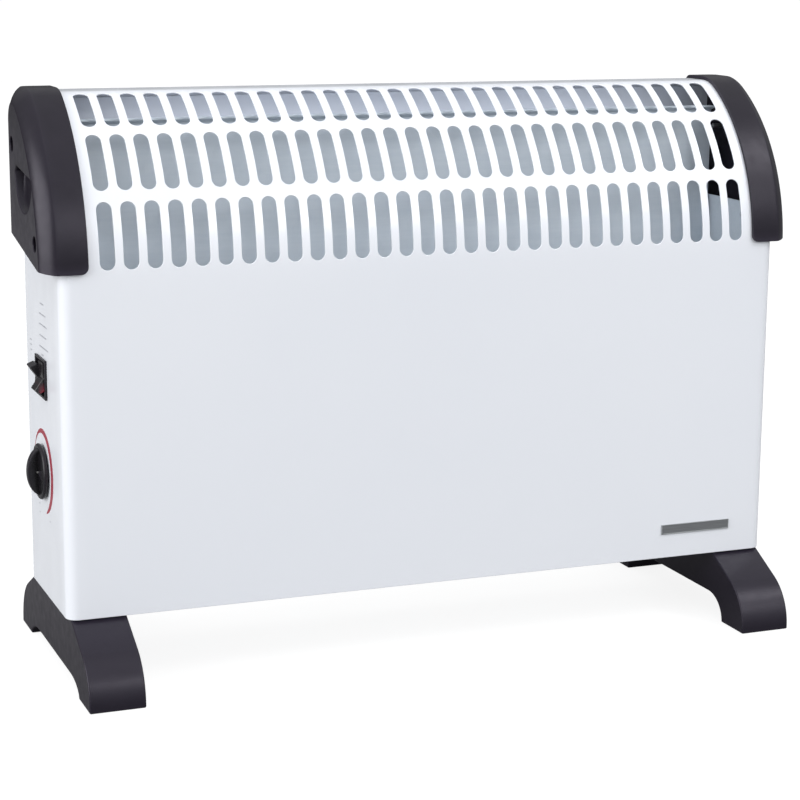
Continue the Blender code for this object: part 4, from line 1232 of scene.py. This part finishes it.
# ---------------------------------------------------------------- carried-over parts


def dress_nodes():
    """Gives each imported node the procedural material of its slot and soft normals."""
    for entry in frame["record"]["subparts"]:
        node = frame["nodes"][entry["node"]]
        node.data.materials.clear()
        node.data.materials.append(MATERIALS[entry["material_slot"]])
        smooth(node.data, 30)


# ---------------------------------------------------------------- studio

CAMERA_PLACE = Vector((-0.5454, -1.3731, 0.4796))
CAMERA_AZIMUTH = math.radians(21.488)
CAMERA_DOWN = math.radians(12.011)
CAMERA_ROLL = math.radians(0.44)
LENS_MM = 96.59
SKY_LEVEL = 0.40
SKY_TOP = 1.12
SKY_FRONT = 0.38
FLOOR_SEEN = 0.87
FLOOR_BOUNCE = 0.06


def camera():
    data = bpy.data.cameras.new("camera")
    data.lens = LENS_MM
    data.sensor_width = 36
    data.clip_start = 0.05
    made = bpy.data.objects.new("camera", data)
    bpy.context.scene.collection.objects.link(made)
    level = math.cos(CAMERA_DOWN)
    ahead = Vector(
        (math.sin(CAMERA_AZIMUTH) * level, math.cos(CAMERA_AZIMUTH) * level, -math.sin(CAMERA_DOWN))
    )
    right = Vector((math.cos(CAMERA_AZIMUTH), -math.sin(CAMERA_AZIMUTH), 0))
    up = right.cross(ahead)
    turned_right = right * math.cos(CAMERA_ROLL) + up * math.sin(CAMERA_ROLL)
    turned_up = up * math.cos(CAMERA_ROLL) - right * math.sin(CAMERA_ROLL)
    axes = Matrix((turned_right, turned_up, -ahead)).transposed().to_4x4()
    made.matrix_world = Matrix.Translation(CAMERA_PLACE) @ axes
    bpy.context.scene.camera = made


def area_light(name, place, target, width, height, power, color=(1, 1, 1)):
    data = bpy.data.lights.new(name, "AREA")
    data.shape = "RECTANGLE"
    data.size = width
    data.size_y = height
    data.energy = power
    data.color = color
    made = bpy.data.objects.new(name, data)
    bpy.context.scene.collection.objects.link(made)
    made.location = place
    made.rotation_euler = (Vector(target) - Vector(place)).to_track_quat("-Z", "Y").to_euler()


def floor():
    """Pale light-table floor: it glows, so that the heater's shadow on it stays faint."""
    shape = bmesh.new()
    bmesh.ops.create_grid(shape, x_segments=8, y_segments=8, size=6)
    bmesh.ops.translate(shape, verts=shape.verts, vec=(0, 0, -0.0002))
    n = Nodes("pale_floor")
    n.set(Base_Color=n.mix(n.remap(n.noise(3.0, 3.0), 0, 1), (0.20, 0.20, 0.20), (0.22, 0.22, 0.22)))
    n.set(Roughness=0.9, Specular_IOR_Level=0.0)
    seen = n.add("ShaderNodeLightPath").outputs["Is Camera Ray"]
    n.set(Emission_Color=(1.0, 1.0, 1.0))
    n.set(Emission_Strength=n.remap(seen, FLOOR_BOUNCE, FLOOR_SEEN, 0, 1))
    made = new_object("studio_floor", shape, n.material)


def sky():
    """White surroundings, brighter overhead and in front; the camera sees plain white."""
    world = bpy.data.worlds.new("studio")
    world.use_nodes = True
    tree = world.node_tree
    tree.nodes.clear()
    place = add_node(tree, "ShaderNodeTexCoord")
    split = add_node(tree, "ShaderNodeSeparateXYZ")
    tree.links.new(place.outputs["Generated"], split.inputs["Vector"])
    rise = add_node(tree, "ShaderNodeMapRange")
    rise.inputs["From Min"].default_value = 0.0
    rise.inputs["From Max"].default_value = 1.0
    rise.inputs["To Min"].default_value = SKY_LEVEL
    rise.inputs["To Max"].default_value = SKY_TOP
    tree.links.new(split.outputs["Z"], rise.inputs["Value"])
    front = add_node(tree, "ShaderNodeMath", operation="MULTIPLY_ADD")
    front.inputs[1].default_value = -SKY_FRONT
    tree.links.new(split.outputs["Y"], front.inputs[0])
    tree.links.new(rise.outputs["Result"], front.inputs[2])
    light = add_node(tree, "ShaderNodeBackground")
    light.inputs["Color"].default_value = (0.97, 0.985, 1.0, 1)
    tree.links.new(front.outputs["Value"], light.inputs["Strength"])
    seen = add_node(tree, "ShaderNodeBackground")
    seen.inputs["Color"].default_value = (1, 1, 1, 1)
    seen.inputs["Strength"].default_value = 1.02
    path = add_node(tree, "ShaderNodeLightPath")
    mix = add_node(tree, "ShaderNodeMixShader")
    tree.links.new(path.outputs["Is Camera Ray"], mix.inputs["Fac"])
    tree.links.new(light.outputs["Background"], mix.inputs[1])
    tree.links.new(seen.outputs["Background"], mix.inputs[2])
    output = add_node(tree, "ShaderNodeOutputWorld")
    tree.links.new(mix.outputs["Shader"], output.inputs["Surface"])
    bpy.context.scene.world = world


def studio():
    bpy.context.scene.view_settings.view_transform = "Standard"
    sky()
    middle = (0, 0, 0.2)
    area_light("top", (0.1, -0.6, 2.3), middle, 1.8, 1.2, 1.8)
    area_light("key", (1.15, -2.70, 1.60), middle, 1.0, 0.8, 22.0)
    area_light("high_right", (1.75, -1.60, 2.50), middle, 1.0, 1.0, 19.0)
    area_light("left_fill", (-2.7, -0.35, 0.90), middle, 2.2, 2.0, 66.0)
    inside = (0, SHIELD_HIGH.y + 0.014, SHIELD_HIGH.z - 0.030)
    area_light("inner_bounce", inside, (0, BACK_Y, TOP), 0.42, 0.016, 0.045, (0.88, 0.92, 1.0))
    floor()


camera()
dress_nodes()
casing()
rear_panel()
end_cap("left_end_cap", -1)
end_cap("right_end_cap", 1)
foot("left_foot", -1)
foot("right_foot", 1)
screws()
bezel()
rocker("front_rocker", "red_lens", "front_rocker")
rocker("rear_rocker", "black_plastic", "rear_rocker")
knob()
knob_arc()
marks()
badge()
gland()
studio()
